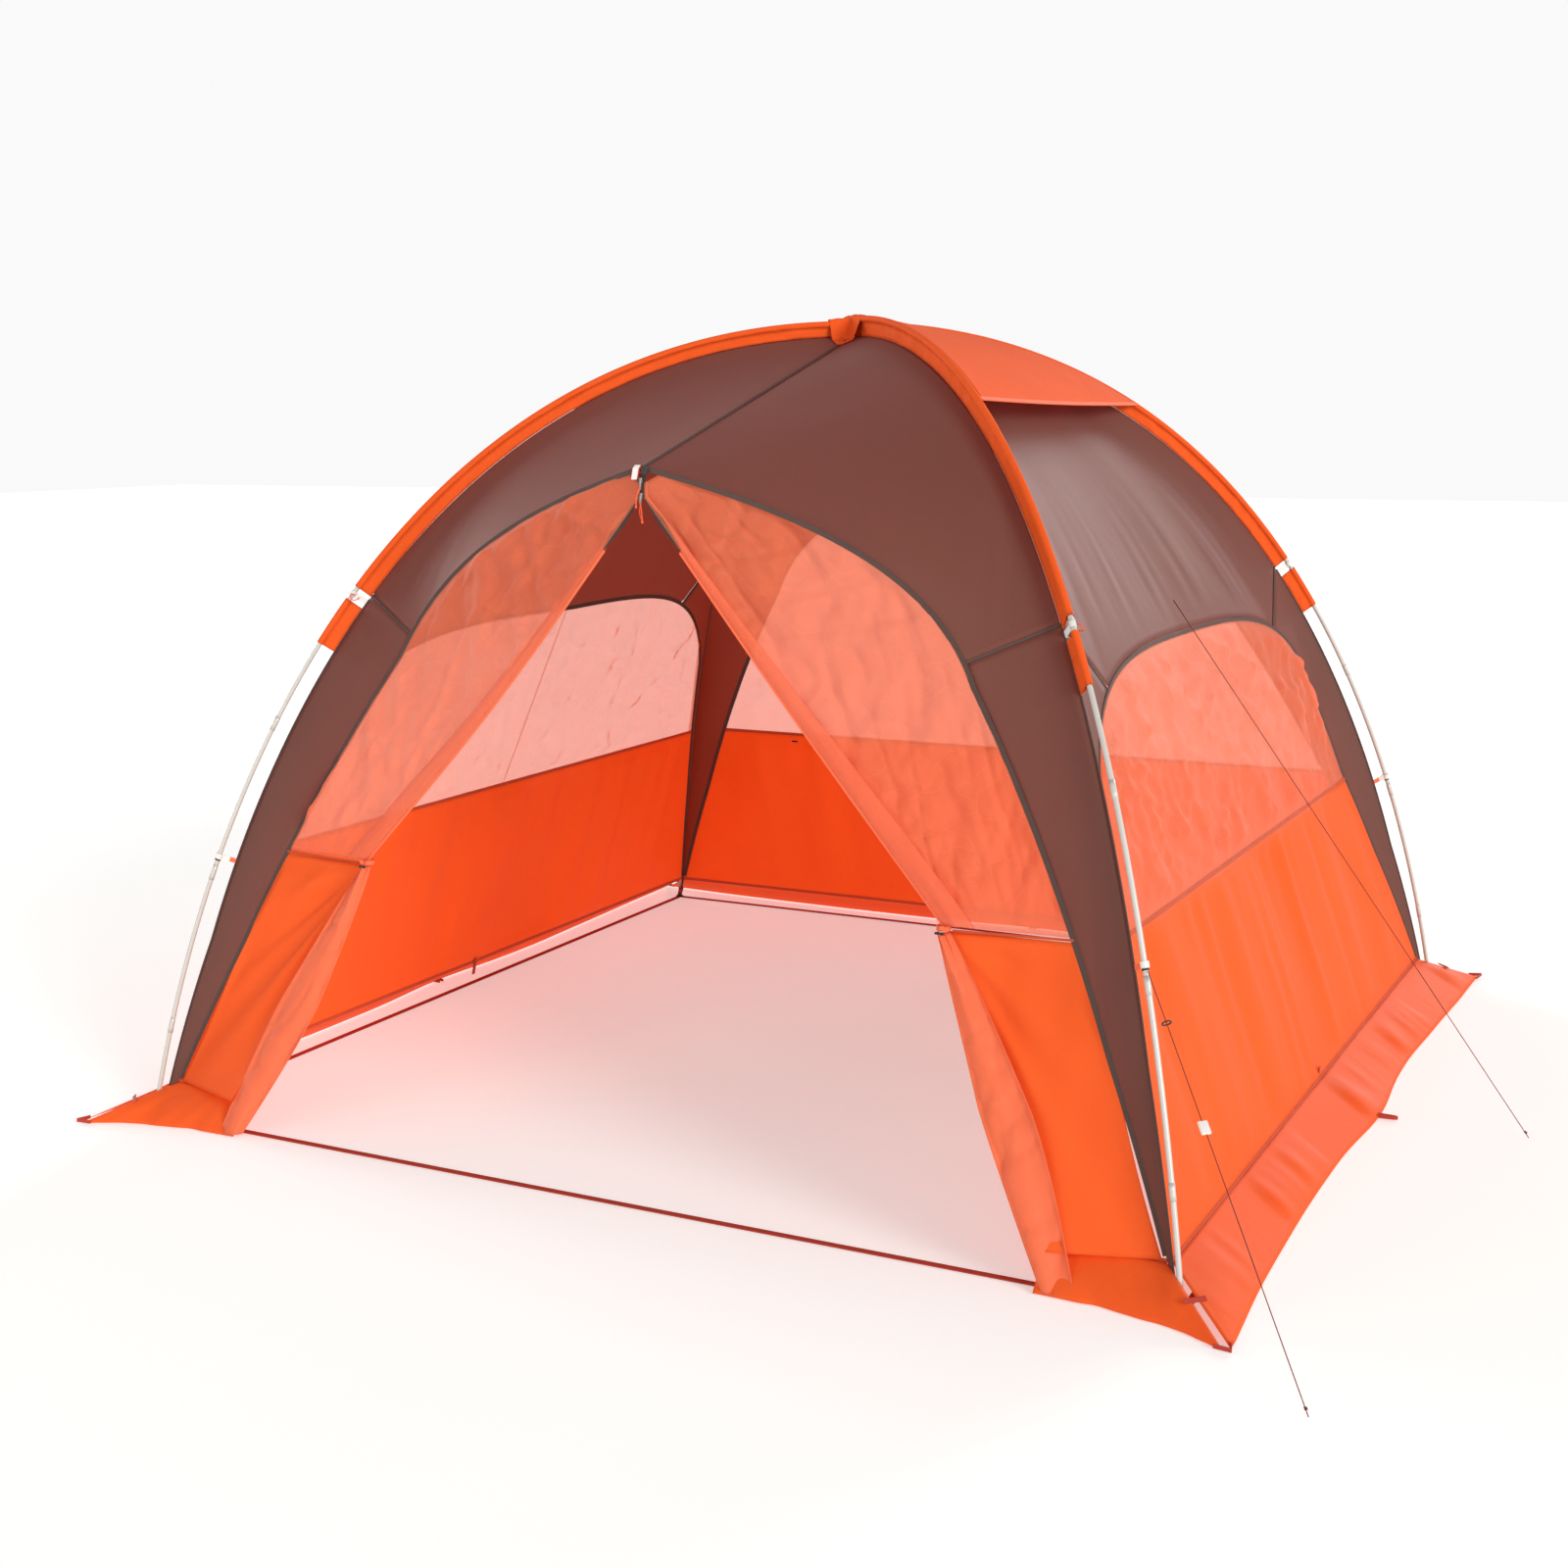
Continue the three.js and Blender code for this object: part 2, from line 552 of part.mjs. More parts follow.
function windowWall(face, flank, top, spring) {
  const place = FACES[face];
  const line = (p, way) => place(way * p[0], p[1], p[2]);
  const left = (v) => line(flank(mix(WALL_SEAM, spring, v)), -1);
  const right = (v) => line(flank(mix(WALL_SEAM, spring, v)), 1);
  const bottom = (u) => between(left(0), right(0), u);
  const crown = (u) => line(top(Math.abs(2 * u - 1)), u < 0.5 ? -1 : 1);
  return filledBetween(bottom, crown, left, right);
}

function lowerWall(face, flank) {
  return (u, v) => {
    const p = flank(mix(BASE_SEAM, WALL_SEAM, v));
    return FACES[face](mix(-p[0], p[0], u), p[1], p[2]);
  };
}

function addWalls() {
  const sides = [
    ['left', sideFlank, windowTop, WINDOW_SPRING],
    ['right', sideFlank, windowTop, WINDOW_SPRING],
    ['back', doorFlank, arch, ARCH_SPRING],
  ];
  sides.forEach(([face, flank, top, spring]) => {
    const wall = windowWall(face, flank, top, spring);
    const ease = [MESH_EASE, MESH_EASE, SEAM_EASE, MESH_EASE];
    add(`mesh_wall_${face}`, clothPanel(wall, 12, 5, ease), 'mesh');
    add(`lower_wall_${face}`, clothPanel(lowerWall(face, flank), 3, 4), 'wall');
  });
}

// ---- Skirts and ground webbing ------------------------------------------
// A skirt falls from the base seam to the ground and flares towards the corners.
// It runs from one place along the face to a corner, or from corner to corner.
function skirtSurface(face, flank, side, inner, innerOut) {
  const seam = flank(BASE_SEAM);
  const reach = seam[0] - SEAM_EASE;
  const corner = SKIRT_CORNER - SKIRT_CORNER_GAP;
  const start = inner ?? -corner;
  return (u, v) => {
    const along = mix(start, corner, u);
    const top = mix(inner ?? -reach, reach, u);
    const flare = (inner === null ? 2 * u - 1 : u) ** 2;
    const hem = FACES[face](side * along, mix(innerOut, SKIRT_CORNER, flare), FABRIC / 2 + HEM_LIFT);
    return between(FACES[face](side * top, seam[1], BASE_SEAM), hem, v);
  };
}

function addSkirts() {
  const ease = [SEAM_EASE, SEAM_EASE, SEAM_EASE, 0];
  [['left', sideFlank], ['right', sideFlank], ['back', doorFlank]].forEach(([face, flank]) => {
    add(`skirt_${face}`, clothPanel(skirtSurface(face, flank, 1, null, SKIRT_OUT), 10, 1, ease), 'wall');
  });
  [-1, 1].forEach((side) => {
    const surface = skirtSurface('front', doorFlank, side, FRONT_SKIRT_INNER, FRONT_SKIRT_OUT);
    add(`skirt_front_${side > 0 ? 'right' : 'left'}`, clothPanel(surface, 4, 1, ease), 'wall');
  });
}

function addWebbing() {
  const outer = (FOOT_SPAN + WEBBING_WIDTH) / 2;
  const inner = outer - WEBBING_WIDTH;
  const square = (half) => [[-half, -half], [half, -half], [half, half], [-half, half]];
  const shape = flatShape(square(outer));
  shape.holes.push(flatShape(square(inner)));
  const settings = { depth: WEBBING_THICKNESS, bevelEnabled: false };
  add('perimeter_webbing', new THREE.ExtrudeGeometry(shape, settings), 'webbing');
}

// ---- Front doors, tied open ---------------------------------------------
// A curve through straight and curved stretches, by its length.
function byLength(sample, count = 60) {
  const points = Array.from({ length: count + 1 }, (_, k) => sample(k / count));
  const lengths = [0];
  points.slice(1).forEach((p, k) => lengths.push(lengths[k] + p.distanceTo(points[k])));
  const total = lengths[count];
  return (s) => {
    const target = s * total;
    const k = Math.min(Math.max(lengths.findIndex((l) => l > target), 1), count);
    const share = (target - lengths[k - 1]) / (lengths[k] - lengths[k - 1]);
    return between(points[k - 1], points[k], Math.min(share, 1));
  };
}

function addDoors() {
  [-1, 1].forEach((side) => {
    const hand = side > 0 ? 'right' : 'left';
    const place = (p) => FACES.front(side * p[0], p[1], p[2]);
    const tie = place(DOOR_TIE);
    const peak = place([DOOR_GAP, DOOR_PEAK[0], DOOR_PEAK[1]]);
    const parting = peak.clone().add(vec(0, -DOOR_GAP, -ZIP_CLOSED));
    const fall = DOOR_PEAK[1] - WALL_SEAM;
    const edge = byLength((s) => place(doorEdge(DOOR_PEAK[1] - 1 - (fall - 1) * s)));
    const opening = byLength((s) => {
      if (s < PARTING_SHARE) return between(peak, parting, s / PARTING_SHARE);
      return between(parting, tie, (s - PARTING_SHARE) / (1 - PARTING_SHARE));
    });
    const start = DOOR_START / (peak.distanceTo(parting) + parting.distanceTo(tie));
    const meshPanel = (u, v) => {
      const s = mix(start, 1, v);
      return between(opening(s), edge(s), u);
    };
    add(`door_mesh_${hand}`, clothPanel(meshPanel, 5, 12, [DOOR_GAP, SEAM_EASE, 0, SEAM_EASE]), 'mesh');

    const foot = place([ROLL_FOOT[0], ROLL_FOOT[1], BASE_SEAM]);
    const ease = ROLL_RADII[2] + SEAM_EASE;
    const lower = (u, v) => {
      const outer = place(doorFlank(mix(WALL_SEAM, BASE_SEAM, v)));
      const inner = between(tie, foot, v);
      inner.z = outer.z;
      return between(inner, outer, u);
    };
    add(`door_panel_${hand}`, clothPanel(lower, 3, 4, [ease, SEAM_EASE, SEAM_EASE, SEAM_EASE]), 'wall');

    const top = DOOR_TIE[2] - 2 * SEAM_EASE;
    const bottom = WEBBING_THICKNESS + ROLL_LIFT;
    const outline = ringOutline(1, 10);
    const rings = ROLL_RADII.map((radius, k) => {
      const share = k / (ROLL_RADII.length - 1);
      const { x, y } = between(tie, place([ROLL_FOOT[0], ROLL_FOOT[1], 0]), share);
      return outline.map((p) => vec(x + radius * p.x, y + radius * p.y, mix(top, bottom, share)));
    });
    add(`door_roll_${hand}`, loft(rings, outline), 'wall');
  });
}

function addZip() {
  const [width, depth, height] = SLIDER;
  const out = DOOR_PEAK[0] + 2 * FABRIC + depth / 2;
  ['upper', 'lower'].forEach((name, k) => {
    const z = DOOR_PEAK[1] - SLIDER_DROPS[k];
    const half = width / 2;
    const shape = flatShape([[-half, -height / 2], [half, -height / 2], [half, height / 4],
      [width / 5, height / 2], [-width / 5, height / 2], [-half, height / 4]]);
    const body = new THREE.ExtrudeGeometry(shape, { depth, bevelEnabled: false });
    const slider = add(`zip_slider_${name}`, body, 'metal');
    slider.rotation.x = Math.PI / 2;
    slider.position.set(0, -out + depth / 2, z);

    const [pullWidth, pullDepth, pullLength] = PULL;
    const taper = PULL_TAPER - pullLength;
    const plate = flatShape([[-pullWidth / 2, 0], [pullWidth / 2, 0], [pullWidth / 2, taper],
      [pullWidth / 4, -pullLength], [-pullWidth / 4, -pullLength], [-pullWidth / 2, taper]]);
    plate.holes.push(roundHole(0, PULL_HOLE[0] - pullLength, PULL_HOLE[1], 8));
    const tag = new THREE.ExtrudeGeometry(plate, { depth: pullDepth, bevelEnabled: false });
    const pull = add(`zip_pull_${name}`, tag, 'metal');
    pull.rotation.x = Math.PI / 2;
    pull.position.set(0, -out - depth / 2 - PULL_GAP, z);
  });
}

// ---- Fastenings ---------------------------------------------------------
function addToggle(name, x, y, z) {
  const bar = new THREE.CylinderGeometry(TOGGLE_RADIUS, TOGGLE_RADIUS, TOGGLE_LENGTH, 10);
  const toggle = add(`door_toggle_${name}`, bar, 'tip');
  toggle.rotation.z = Math.PI / 2;
  toggle.position.set(x, y, z);
}

function addToggles() {
  const ahead = DOOR_TIE[1] + ROLL_RADII[0] + TOGGLE_RADIUS + TOGGLE_GAP;
  addToggle('left', -DOOR_TIE[0], -ahead, DOOR_TIE[2] - TOGGLE_DROP);
  addToggle('right', DOOR_TIE[0], -ahead, DOOR_TIE[2] - TOGGLE_DROP);
  const wall = doorFlank(WALL_SEAM)[1];
  addToggle('back', -DOOR_TIE[0], wall - BACK_TOGGLE_INSET, WALL_SEAM - BACK_TOGGLE_DROP);
}

// A hook snapped round the bare pole, with an arm towards the corner seam.
function addClips() {
  const inner = POLE_RADIUS + CLIP_EASE;
  const outer = inner + CLIP_WALL;
  CORNERS.forEach((corner) => {
    const t = poleParameter(CLIP_HEIGHT, corner.crest);
    const shape = new THREE.Shape();
    const start = -Math.PI / 2 + Math.asin(CLIP_ARM_HALF / outer);
    shape.moveTo(CLIP_ARM_HALF, -CLIP_ARM);
    shape.absarc(0, 0, outer, start, Math.PI - start, false);
    shape.lineTo(-CLIP_ARM_HALF, -CLIP_ARM);
    shape.holes.push(roundHole(0, 0, inner, 14));
    const settings = { depth: CLIP_LENGTH, bevelEnabled: false, curveSegments: 7 };
    const body = new THREE.ExtrudeGeometry(shape, settings);
    body.translate(0, 0, -CLIP_LENGTH / 2);
    const clip = add(`leg_clip_${corner.name}`, body, 'clip');
    const [tr, tz] = poleTangent(t, corner.crest);
    const out = onDiagonal(corner, [-tz, tr]);
    const up = onDiagonal(corner, [-tr, -tz]);
    const turn = new THREE.Matrix4().makeBasis(out.clone().cross(up), out, up);
    clip.quaternion.setFromRotationMatrix(turn);
    clip.position.copy(onDiagonal(corner, polePoint(t, corner.crest)));
  });
}

function addGuylines() {
  const out = WINDOW_CROWN[0] - LINE_TOP_INSET;
  const height = WINDOW_CROWN[1] + LINE_TOP_RISE;
  const ground = LINE_RADIUS + LINE_LIFT;
  const rightFoot = vec(RIGHT_LINE_FOOT[0], RIGHT_LINE_FOOT[1], ground);
  const leftFoot = vec(LEFT_LINE_FOOT[0], LEFT_LINE_FOOT[1], ground);
  add('guyline_right', cordLine(vec(out, 0, height), rightFoot), 'cord');
  add('guyline_left', cordLine(vec(-out, 0, height), leftFoot), 'cord');

  const clip = polePoint(poleParameter(CLIP_HEIGHT));
  const start = clip[0] + POLE_RADIUS + CLIP_WALL + CORNER_LINE_GAP;
  const from = onDiagonal(FRONT_RIGHT, [start, clip[1] - CORNER_LINE_DROP]);
  const to = onDiagonal(FRONT_RIGHT, [FOOT_RADIUS + CORNER_LINE_REACH, ground]);
  const along = to.clone().sub(from);
  add('guyline_front_right', cordLine(from, to), 'cord');

  const section = ringOutline(RING_WIRE, 6).map((p) => new THREE.Vector2(p.x + RING_RADIUS, p.y));
  const ring = add('line_ring', new THREE.LatheGeometry([...section, section[0]], 14), 'ring');
  aim(ring, vec(0, 1, 0), along, between(from, to, RING_SHARE));

  const [width, depth, length] = LOCK;
  const shape = flatShape([[-width / 2, -depth / 2], [width / 2, -depth / 2], [width / 2, depth / 2],
    [-width / 2, depth / 2]]);
  shape.holes.push(roundHole(0, 0, LINE_RADIUS + LOCK_EASE, 10));
  const body = new THREE.ExtrudeGeometry(shape, { depth: length, bevelEnabled: false });
  body.translate(0, 0, -length / 2);
  const lock = add('line_lock', body, 'clip');
  aim(lock, vec(0, 0, 1), along, between(from, to, LOCK_SHARE));
}

addPoles();
addPoleTips();
addSleeves();
addRoof();
addVentCovers();
addLegPanels();
addWalls();
addSkirts();
addWebbing();
addDoors();
addZip();
addToggles();
addClips();
addGuylines();

export default shelter;
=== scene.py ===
"""A walk-in screen shelter: two crossed poles, a brown and orange cloth body hung inside
them, net windows over solid walls, and a front door that is tied open."""

import json
import math

import bmesh
import bpy
import numpy as np
from bpy.props import FloatProperty, FloatVectorProperty, PointerProperty
from mathutils import Matrix, Vector

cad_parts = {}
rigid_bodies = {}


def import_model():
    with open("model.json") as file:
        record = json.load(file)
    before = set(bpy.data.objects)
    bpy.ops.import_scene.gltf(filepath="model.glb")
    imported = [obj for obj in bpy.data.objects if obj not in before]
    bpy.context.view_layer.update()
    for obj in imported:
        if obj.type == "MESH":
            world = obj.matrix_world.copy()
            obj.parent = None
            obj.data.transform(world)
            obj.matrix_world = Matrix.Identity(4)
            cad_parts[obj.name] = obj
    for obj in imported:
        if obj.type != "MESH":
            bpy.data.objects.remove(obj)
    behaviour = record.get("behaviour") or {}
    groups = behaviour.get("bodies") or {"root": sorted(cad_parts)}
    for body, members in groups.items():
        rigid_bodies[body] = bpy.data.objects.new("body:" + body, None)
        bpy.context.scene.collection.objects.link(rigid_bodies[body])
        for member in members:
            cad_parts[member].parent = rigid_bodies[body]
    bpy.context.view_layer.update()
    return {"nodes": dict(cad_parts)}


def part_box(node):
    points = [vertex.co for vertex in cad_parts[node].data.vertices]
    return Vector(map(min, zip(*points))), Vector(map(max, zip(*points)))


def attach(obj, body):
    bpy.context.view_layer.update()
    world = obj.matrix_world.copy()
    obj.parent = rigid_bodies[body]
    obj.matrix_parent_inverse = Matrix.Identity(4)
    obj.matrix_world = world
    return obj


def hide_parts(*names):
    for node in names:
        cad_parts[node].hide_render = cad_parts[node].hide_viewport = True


bl_info = {
    "name": "Screen shelter",
    "version": (1, 0, 0),
    "blender": (4, 5, 0),
    "location": "View3D > Sidebar > Shelter",
    "description": "Builds the cloth, poles and fittings of a walk-in screen shelter",
    "category": "Object",
}

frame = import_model()
ROOT2 = math.sqrt(2)
CORNERS = {
    "front_right": (1, -1),
    "front_left": (-1, -1),
    "back_right": (1, 1),
    "back_left": (-1, 1),
}
OVER = ("front_right", "back_left")  # the corners that the upper pole runs to
POLE_RADIUS = 0.0065
TAPE_HALF = 0.01  # half the ground tape's width


def srgb(text):
    """A hex colour as linear red, green, blue and 1."""
    channels = [int(text[i : i + 2], 16) / 255 for i in (0, 2, 4)]
    linear = (c / 12.92 if c <= 0.04045 else ((c + 0.055) / 1.055) ** 2.4 for c in channels)
    return (*linear, 1.0)


def metres(name, about, value):
    return FloatProperty(name=name, description=about, default=value, unit="LENGTH", precision=4)


def paint(name, about, text):
    return FloatVectorProperty(
        name=name, description=about, subtype="COLOR", size=4, default=srgb(text)
    )


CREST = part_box("arch_pole_upper")[1][2] - POLE_RADIUS
TAPE_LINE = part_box("perimeter_webbing")[1][0] - TAPE_HALF  # the ground tape's middle line


class ShelterSizes(bpy.types.PropertyGroup):
    """Sizes of the shelter, in metres."""

    pole_radius: metres("Pole radius", "Radius of both arch poles", POLE_RADIUS)
    crest: metres("Crest", "Height of the upper pole's centre at the crossing", CREST)
    foot_radius: metres("Foot radius", "Middle of the plan to a pole foot", TAPE_LINE * ROOT2)
    seam_depth: metres("Corner seam depth", "Corner seam inside the pole", 0.05)
    seam_depth_foot: metres("Seam depth at foot", "The same at the ground", 0.02)
    peak_out: metres("Door peak out", "Door peak's distance from the middle", 1.199)
    peak_height: metres("Door peak height", "Height of the door arch's peak", 1.767)
    spring: metres("Arch spring", "Where the door arch leaves the leg edge", 1.266)
    shoulder: metres("Shoulder seam", "Height of roof and leg seam on the corner", 1.41)
    arch_shoulder: metres("Arch shoulder", "The same seam on the door arch", 1.32)
    window_out: metres("Window crown out", "Window crown's distance from the middle", 0.985)
    window_height: metres("Window crown height", "Height of the side window's top", 1.294)
    window_spring: metres("Window spring", "Where the window's top leaves the leg edge", 1.0)
    window_shoulder: metres("Window shoulder", "Shoulder seam on the window's top", 1.235)
    wall_seam: metres("Wall seam", "Net above, solid cloth below", 0.725)
    base_seam: metres("Base seam", "Solid wall above, skirt below", 0.09)
    cloth: metres("Cloth", "Drawn thickness of the cloth", 0.0012)
    binding: metres("Binding", "Width of the folded tape on an open edge", 0.013)


class ShelterColours(bpy.types.PropertyGroup):
    """Colours of the shelter's finishes."""

    orange: paint("Wall cloth", "Solid orange walls and skirts", "F67232")
    ripstop: paint("Sleeve cloth", "Sleeves and vent cover", "EE5E26")
    brown: paint("Roof cloth", "Roof and leg panels", "694F45")
    net: paint("Netting", "Windows and front doors", "F88A60")
    # Its dark brown is partly the tape's own colour and partly painted shade: it stands in for the
    # shadow that the roof's edge casts along the door arches and window tops.
    binding: paint("Binding", "Folded tape on the open edges", "4E3831")
    web: paint("Webbing", "Ground tape and stake loops", "AE3624")
    pole: paint("Pole", "Anodised tube", "C4BFB7")
    floor: paint("Floor", "Plain studio floor", "E6E5E2")


# The bends of the main lines. A pole's are shares of its reach and crest, and an arch's
# are metres along, out and up from the end that they belong to.
POLE_GAP = 0.0006
POLE_BEND = (0.6645, (0.9208, 0.3916))
ARCH_BENDS = ((0.47, -0.099, -0.127), (-0.107, -0.047, 0.234))
WINDOW_BENDS = ((0.62, 0.022, 0.01), (-0.11, -0.07, 0.285))
LEAST_FLANK = 0.012  # a leg panel's least width beside its corner seam
DOOR_FLANK = (0.195, 1.426, -0.26)  # width per height, distance out at the ground, lean
SIDE_FLANK = (0.13, 0.06, 0.75)  # width, lean, and the height at which both are reached


class Curves:
    """The shelter's seam lines, worked out from its sizes."""

    def __init__(self, s):
        self.s = s
        t = np.linspace(0, 1, 1601)
        self.t = t
        self.poles = {name: self.arc(self.crest(name)) for name in CORNERS}
        pole = self.arc(s.crest)
        tangent = np.gradient(pole, axis=0)
        tangent /= np.linalg.norm(tangent, axis=1)[:, None]
        share = np.clip(pole[:, 1] / 0.5, 0, 1)
        depth = s.seam_depth_foot + (s.seam_depth - s.seam_depth_foot) * share
        self.seam_line = pole + np.stack([tangent[:, 1], -tangent[:, 0]], 1) * depth[:, None]

    def crest(self, corner):
        return self.s.crest - (0 if corner in OVER else 2 * self.s.pole_radius + POLE_GAP)

    def arc(self, crest):
        """One pole from the crest to its foot: out along the diagonal, height."""
        r = self.s.foot_radius
        flat, (out, up) = POLE_BEND
        return bezier([(0, crest), (flat * r, crest), (out * r, up * crest), (r, 0)], self.t)

    def seam_at(self, z):
        """The corner seam's distance along the diagonal, by height."""
        return np.interp(-np.asarray(z, float), -self.seam_line[:, 1], self.seam_line[:, 0])

    def reach(self, z):
        return self.seam_at(z) / ROOT2

    def seam(self, corner, z):
        """Points on a corner seam at the heights given."""
        x, y = CORNERS[corner]
        reach = self.reach(z)
        return np.stack([x * reach, y * reach, np.asarray(z, float)], -1)

    def door_flank(self, z):
        z = np.asarray(z, float)
        wide, out, lean = DOOR_FLANK
        width = np.maximum(wide * z, LEAST_FLANK)
        return np.stack([self.reach(z) - width, out + lean * z, z], -1)

    def side_flank(self, z):
        z = np.asarray(z, float)
        wide, lean, full = SIDE_FLANK
        share = np.clip(z / full, 0, 1)
        reach = self.reach(z)
        width = np.maximum(wide * share, LEAST_FLANK)
        return np.stack([reach - width, reach - lean * share, z], -1)

    def arch(self, t):
        """The door arch from its peak to its spring: along, out, height."""
        s = self.s
        peak = np.array([0, s.peak_out, s.peak_height])
        spring = self.door_flank(s.spring)
        handles = [peak + ARCH_BENDS[0], spring + ARCH_BENDS[1]]
        return bezier([peak, *handles, spring], t)

    def window(self, t):
        """The side window's top from its crown to its spring."""
        s = self.s
        crown = np.array([0, s.window_out, s.window_height])
        spring = self.side_flank(s.window_spring)
        handles = [crown + WINDOW_BENDS[0], spring + WINDOW_BENDS[1]]
        return bezier([crown, *handles, spring], t)

    def panel_edge(self, z, upper, spring, flank):
        """A leg panel's inner edge by height: a bent line above its spring, then the flank."""
        z = np.asarray(z, float)
        along = [np.interp(-z, -upper[:, 2], upper[:, k]) for k in (0, 1)]
        return np.where((z < spring)[..., None], flank(z), np.stack([*along, z], -1))

    def door_edge(self, z):
        upper = self.arch(np.linspace(0, 1, 800))
        return self.panel_edge(z, upper, self.s.spring, self.door_flank)

    def side_edge(self, z):
        upper = self.window(np.linspace(0.3, 1, 800))
        return self.panel_edge(z, upper, self.s.window_spring, self.side_flank)


def bezier(points, t):
    """Points on a cubic curve with two ends and two handles."""
    p = np.array(points, float)
    t = np.atleast_1d(t)[:, None]
    u = 1 - t
    return u**3 * p[0] + 3 * u * u * t * p[1] + 3 * u * t * t * p[2] + t**3 * p[3]


def on_face(face, points, hand=1):
    """Turns along, out, height into the shelter's own x, y, z."""
    along, out, z = (points[..., k] for k in range(3))
    along = along * hand
    places = {
        "front": (along, -out, z),
        "back": (along, out, z),
        "left": (-out, along, z),
        "right": (out, along, z),
    }
    return np.stack(places[face], -1)


def lerp(a, b, t):
    """The place a share t of the way from a to b."""
    return np.asarray(a, float) + (np.asarray(b, float) - np.asarray(a, float)) * t


def along_line(points, count):
    """Points spaced evenly by length along a line."""
    points = np.asarray(points, float)
    run = length_along(points)
    marks = np.linspace(0, run[-1], count)
    return np.stack([np.interp(marks, run, points[:, k]) for k in range(3)], 1)


def filled(bottom, top, left, right, settle=0.0):
    """A surface between four edge lines that meet at its corners. Sharp bends in the
    top line die away from it when settle is set."""
    u = np.linspace(0, 1, len(bottom))[None, :, None]
    v = np.linspace(0, 1, len(left))[:, None, None]
    chord = lerp(top[0], top[-1], u[0])
    bulge = top - chord
    sharp = bulge - softened(bulge, settle) if settle else bulge * 0
    rest = top - sharp
    both_ways = lerp(bottom[None], rest[None], v) + lerp(left[:, None], right[:, None], u)
    plane = lerp(lerp(bottom[0], bottom[-1], u), lerp(rest[0], rest[-1], u), v)
    return both_ways - plane + sharp[None] * v**6


def softened(line, width):
    """A line smoothed over a share of its length, with its ends kept."""
    count = len(line)
    places = np.arange(-count, 2 * count) / count
    padded = np.concatenate([-line[::-1], line, -line[::-1]])
    weights = np.exp(-(((places[:, None] - places[None, count : 2 * count]) / width) ** 2))
    weights /= weights.sum(axis=0)
    return np.einsum("ij,ik->jk", weights, padded)


def ruled(a, b, columns):
    """A surface of straight lines between two edge lines."""
    u = np.linspace(0, 1, columns)[None, :, None]
    return lerp(a[:, None], b[:, None], u)


# ---- Folds ----------------------------------------------------------------
NOISE_CELLS = 97


def value_noise(x, y, seed):
    """Smooth seeded noise from 0 to 1 on arrays of places."""
    table = np.random.RandomState(seed).rand(NOISE_CELLS, NOISE_CELLS)
    xi, yi = np.floor(x).astype(int), np.floor(y).astype(int)
    fx, fy = x - xi, y - yi
    fx, fy = fx * fx * (3 - 2 * fx), fy * fy * (3 - 2 * fy)
    corner = lambda i, j: table[(yi + j) % NOISE_CELLS, (xi + i) % NOISE_CELLS]
    low = corner(0, 0) * (1 - fx) + corner(1, 0) * fx
    high = corner(0, 1) * (1 - fx) + corner(1, 1) * fx
    return low * (1 - fy) + high * fy


def folds(x, y, width, length, angle=0.0, seed=1):
    """Long soft folds: narrow across, drawn out along their own direction."""
    c, s = math.cos(angle), math.sin(angle)
    a, b = (x * c + y * s) / width, (-x * s + y * c) / length
    broad = value_noise(a + 40, b + 40, seed)
    return broad + 0.5 * value_noise(2.1 * a + 60, 1.7 * b + 60, seed + 1) - 0.75


def creases(x, y, size, seed=1):
    """Sharp crossing creases, as in cloth that was packed small."""
    total = 0
    for k, angle in enumerate((0.3, 1.25, 2.2)):
        c, s = math.cos(angle), math.sin(angle)
        a, b = (x * c + y * s) / size, (-x * s + y * c) / (3 * size)
        ridge = 1 - np.abs(2 * value_noise(a + 50, b + 50, seed + 7 * k) - 1)
        total = total + np.maximum(ridge - 0.72, 0) * 3.5
    return total


def near_edges(u, v, share=0.08):
    """0 on a panel's four edges and 1 a little way in."""
    side = np.minimum(np.minimum(u, 1 - u), np.minimum(v, 1 - v)) / share
    side = np.clip(side, 0, 1)
    return side * side * (3 - 2 * side)


# ---- Meshes ---------------------------------------------------------------
def new_object(name, vertices, faces, material, uv=None, smooth=True):
    """A mesh object at the origin, with its place in its mesh."""
    mesh = bpy.data.meshes.new(name)
    points = [tuple(map(float, p)) for p in vertices]
    mesh.from_pydata(points, [], [tuple(map(int, f)) for f in faces])
    if uv is not None:
        layer = mesh.uv_layers.new(name="UVMap")
        loops = np.zeros(len(mesh.loops), dtype=np.int32)
        mesh.loops.foreach_get("vertex_index", loops)
        layer.data.foreach_set("uv", np.asarray(uv, np.float32)[loops].ravel())
    mesh.materials.append(material)
    mesh.polygons.foreach_set("use_smooth", [smooth] * len(mesh.polygons))
    mesh.update()
    piece = bpy.data.objects.new(name, mesh)
    bpy.context.collection.objects.link(piece)
    return piece


def facing_out(vertices, faces):
    """Turns the faces round if a closed mesh came out inside out."""
    volume = 0.0
    for f in faces:
        a = vertices[f[0]]
        for i in range(1, len(f) - 1):
            volume += float(np.dot(a, np.cross(vertices[f[i]], vertices[f[i + 1]])))
    return faces if volume > 0 else [tuple(reversed(f)) for f in faces]


def normals_of(grid):
    """The direction square to a grid at each of its points."""
    du = np.gradient(grid, axis=1)
    dv = np.gradient(grid, axis=0)
    n = np.cross(du, dv)
    return n / np.maximum(np.linalg.norm(n, axis=2), 1e-12)[..., None]


def measures(grid):
    """Distances across and along a grid, in metres, from its first corner."""
    across = np.linalg.norm(np.diff(grid, axis=1), axis=2)
    along = np.linalg.norm(np.diff(grid, axis=0), axis=2)
    x = np.concatenate([np.zeros((len(grid), 1)), np.cumsum(across, axis=1)], 1)
    y = np.concatenate([np.zeros((1, grid.shape[1])), np.cumsum(along, axis=0)], 0)
    return x - x.mean(axis=1, keepdims=True) + x.mean(), y


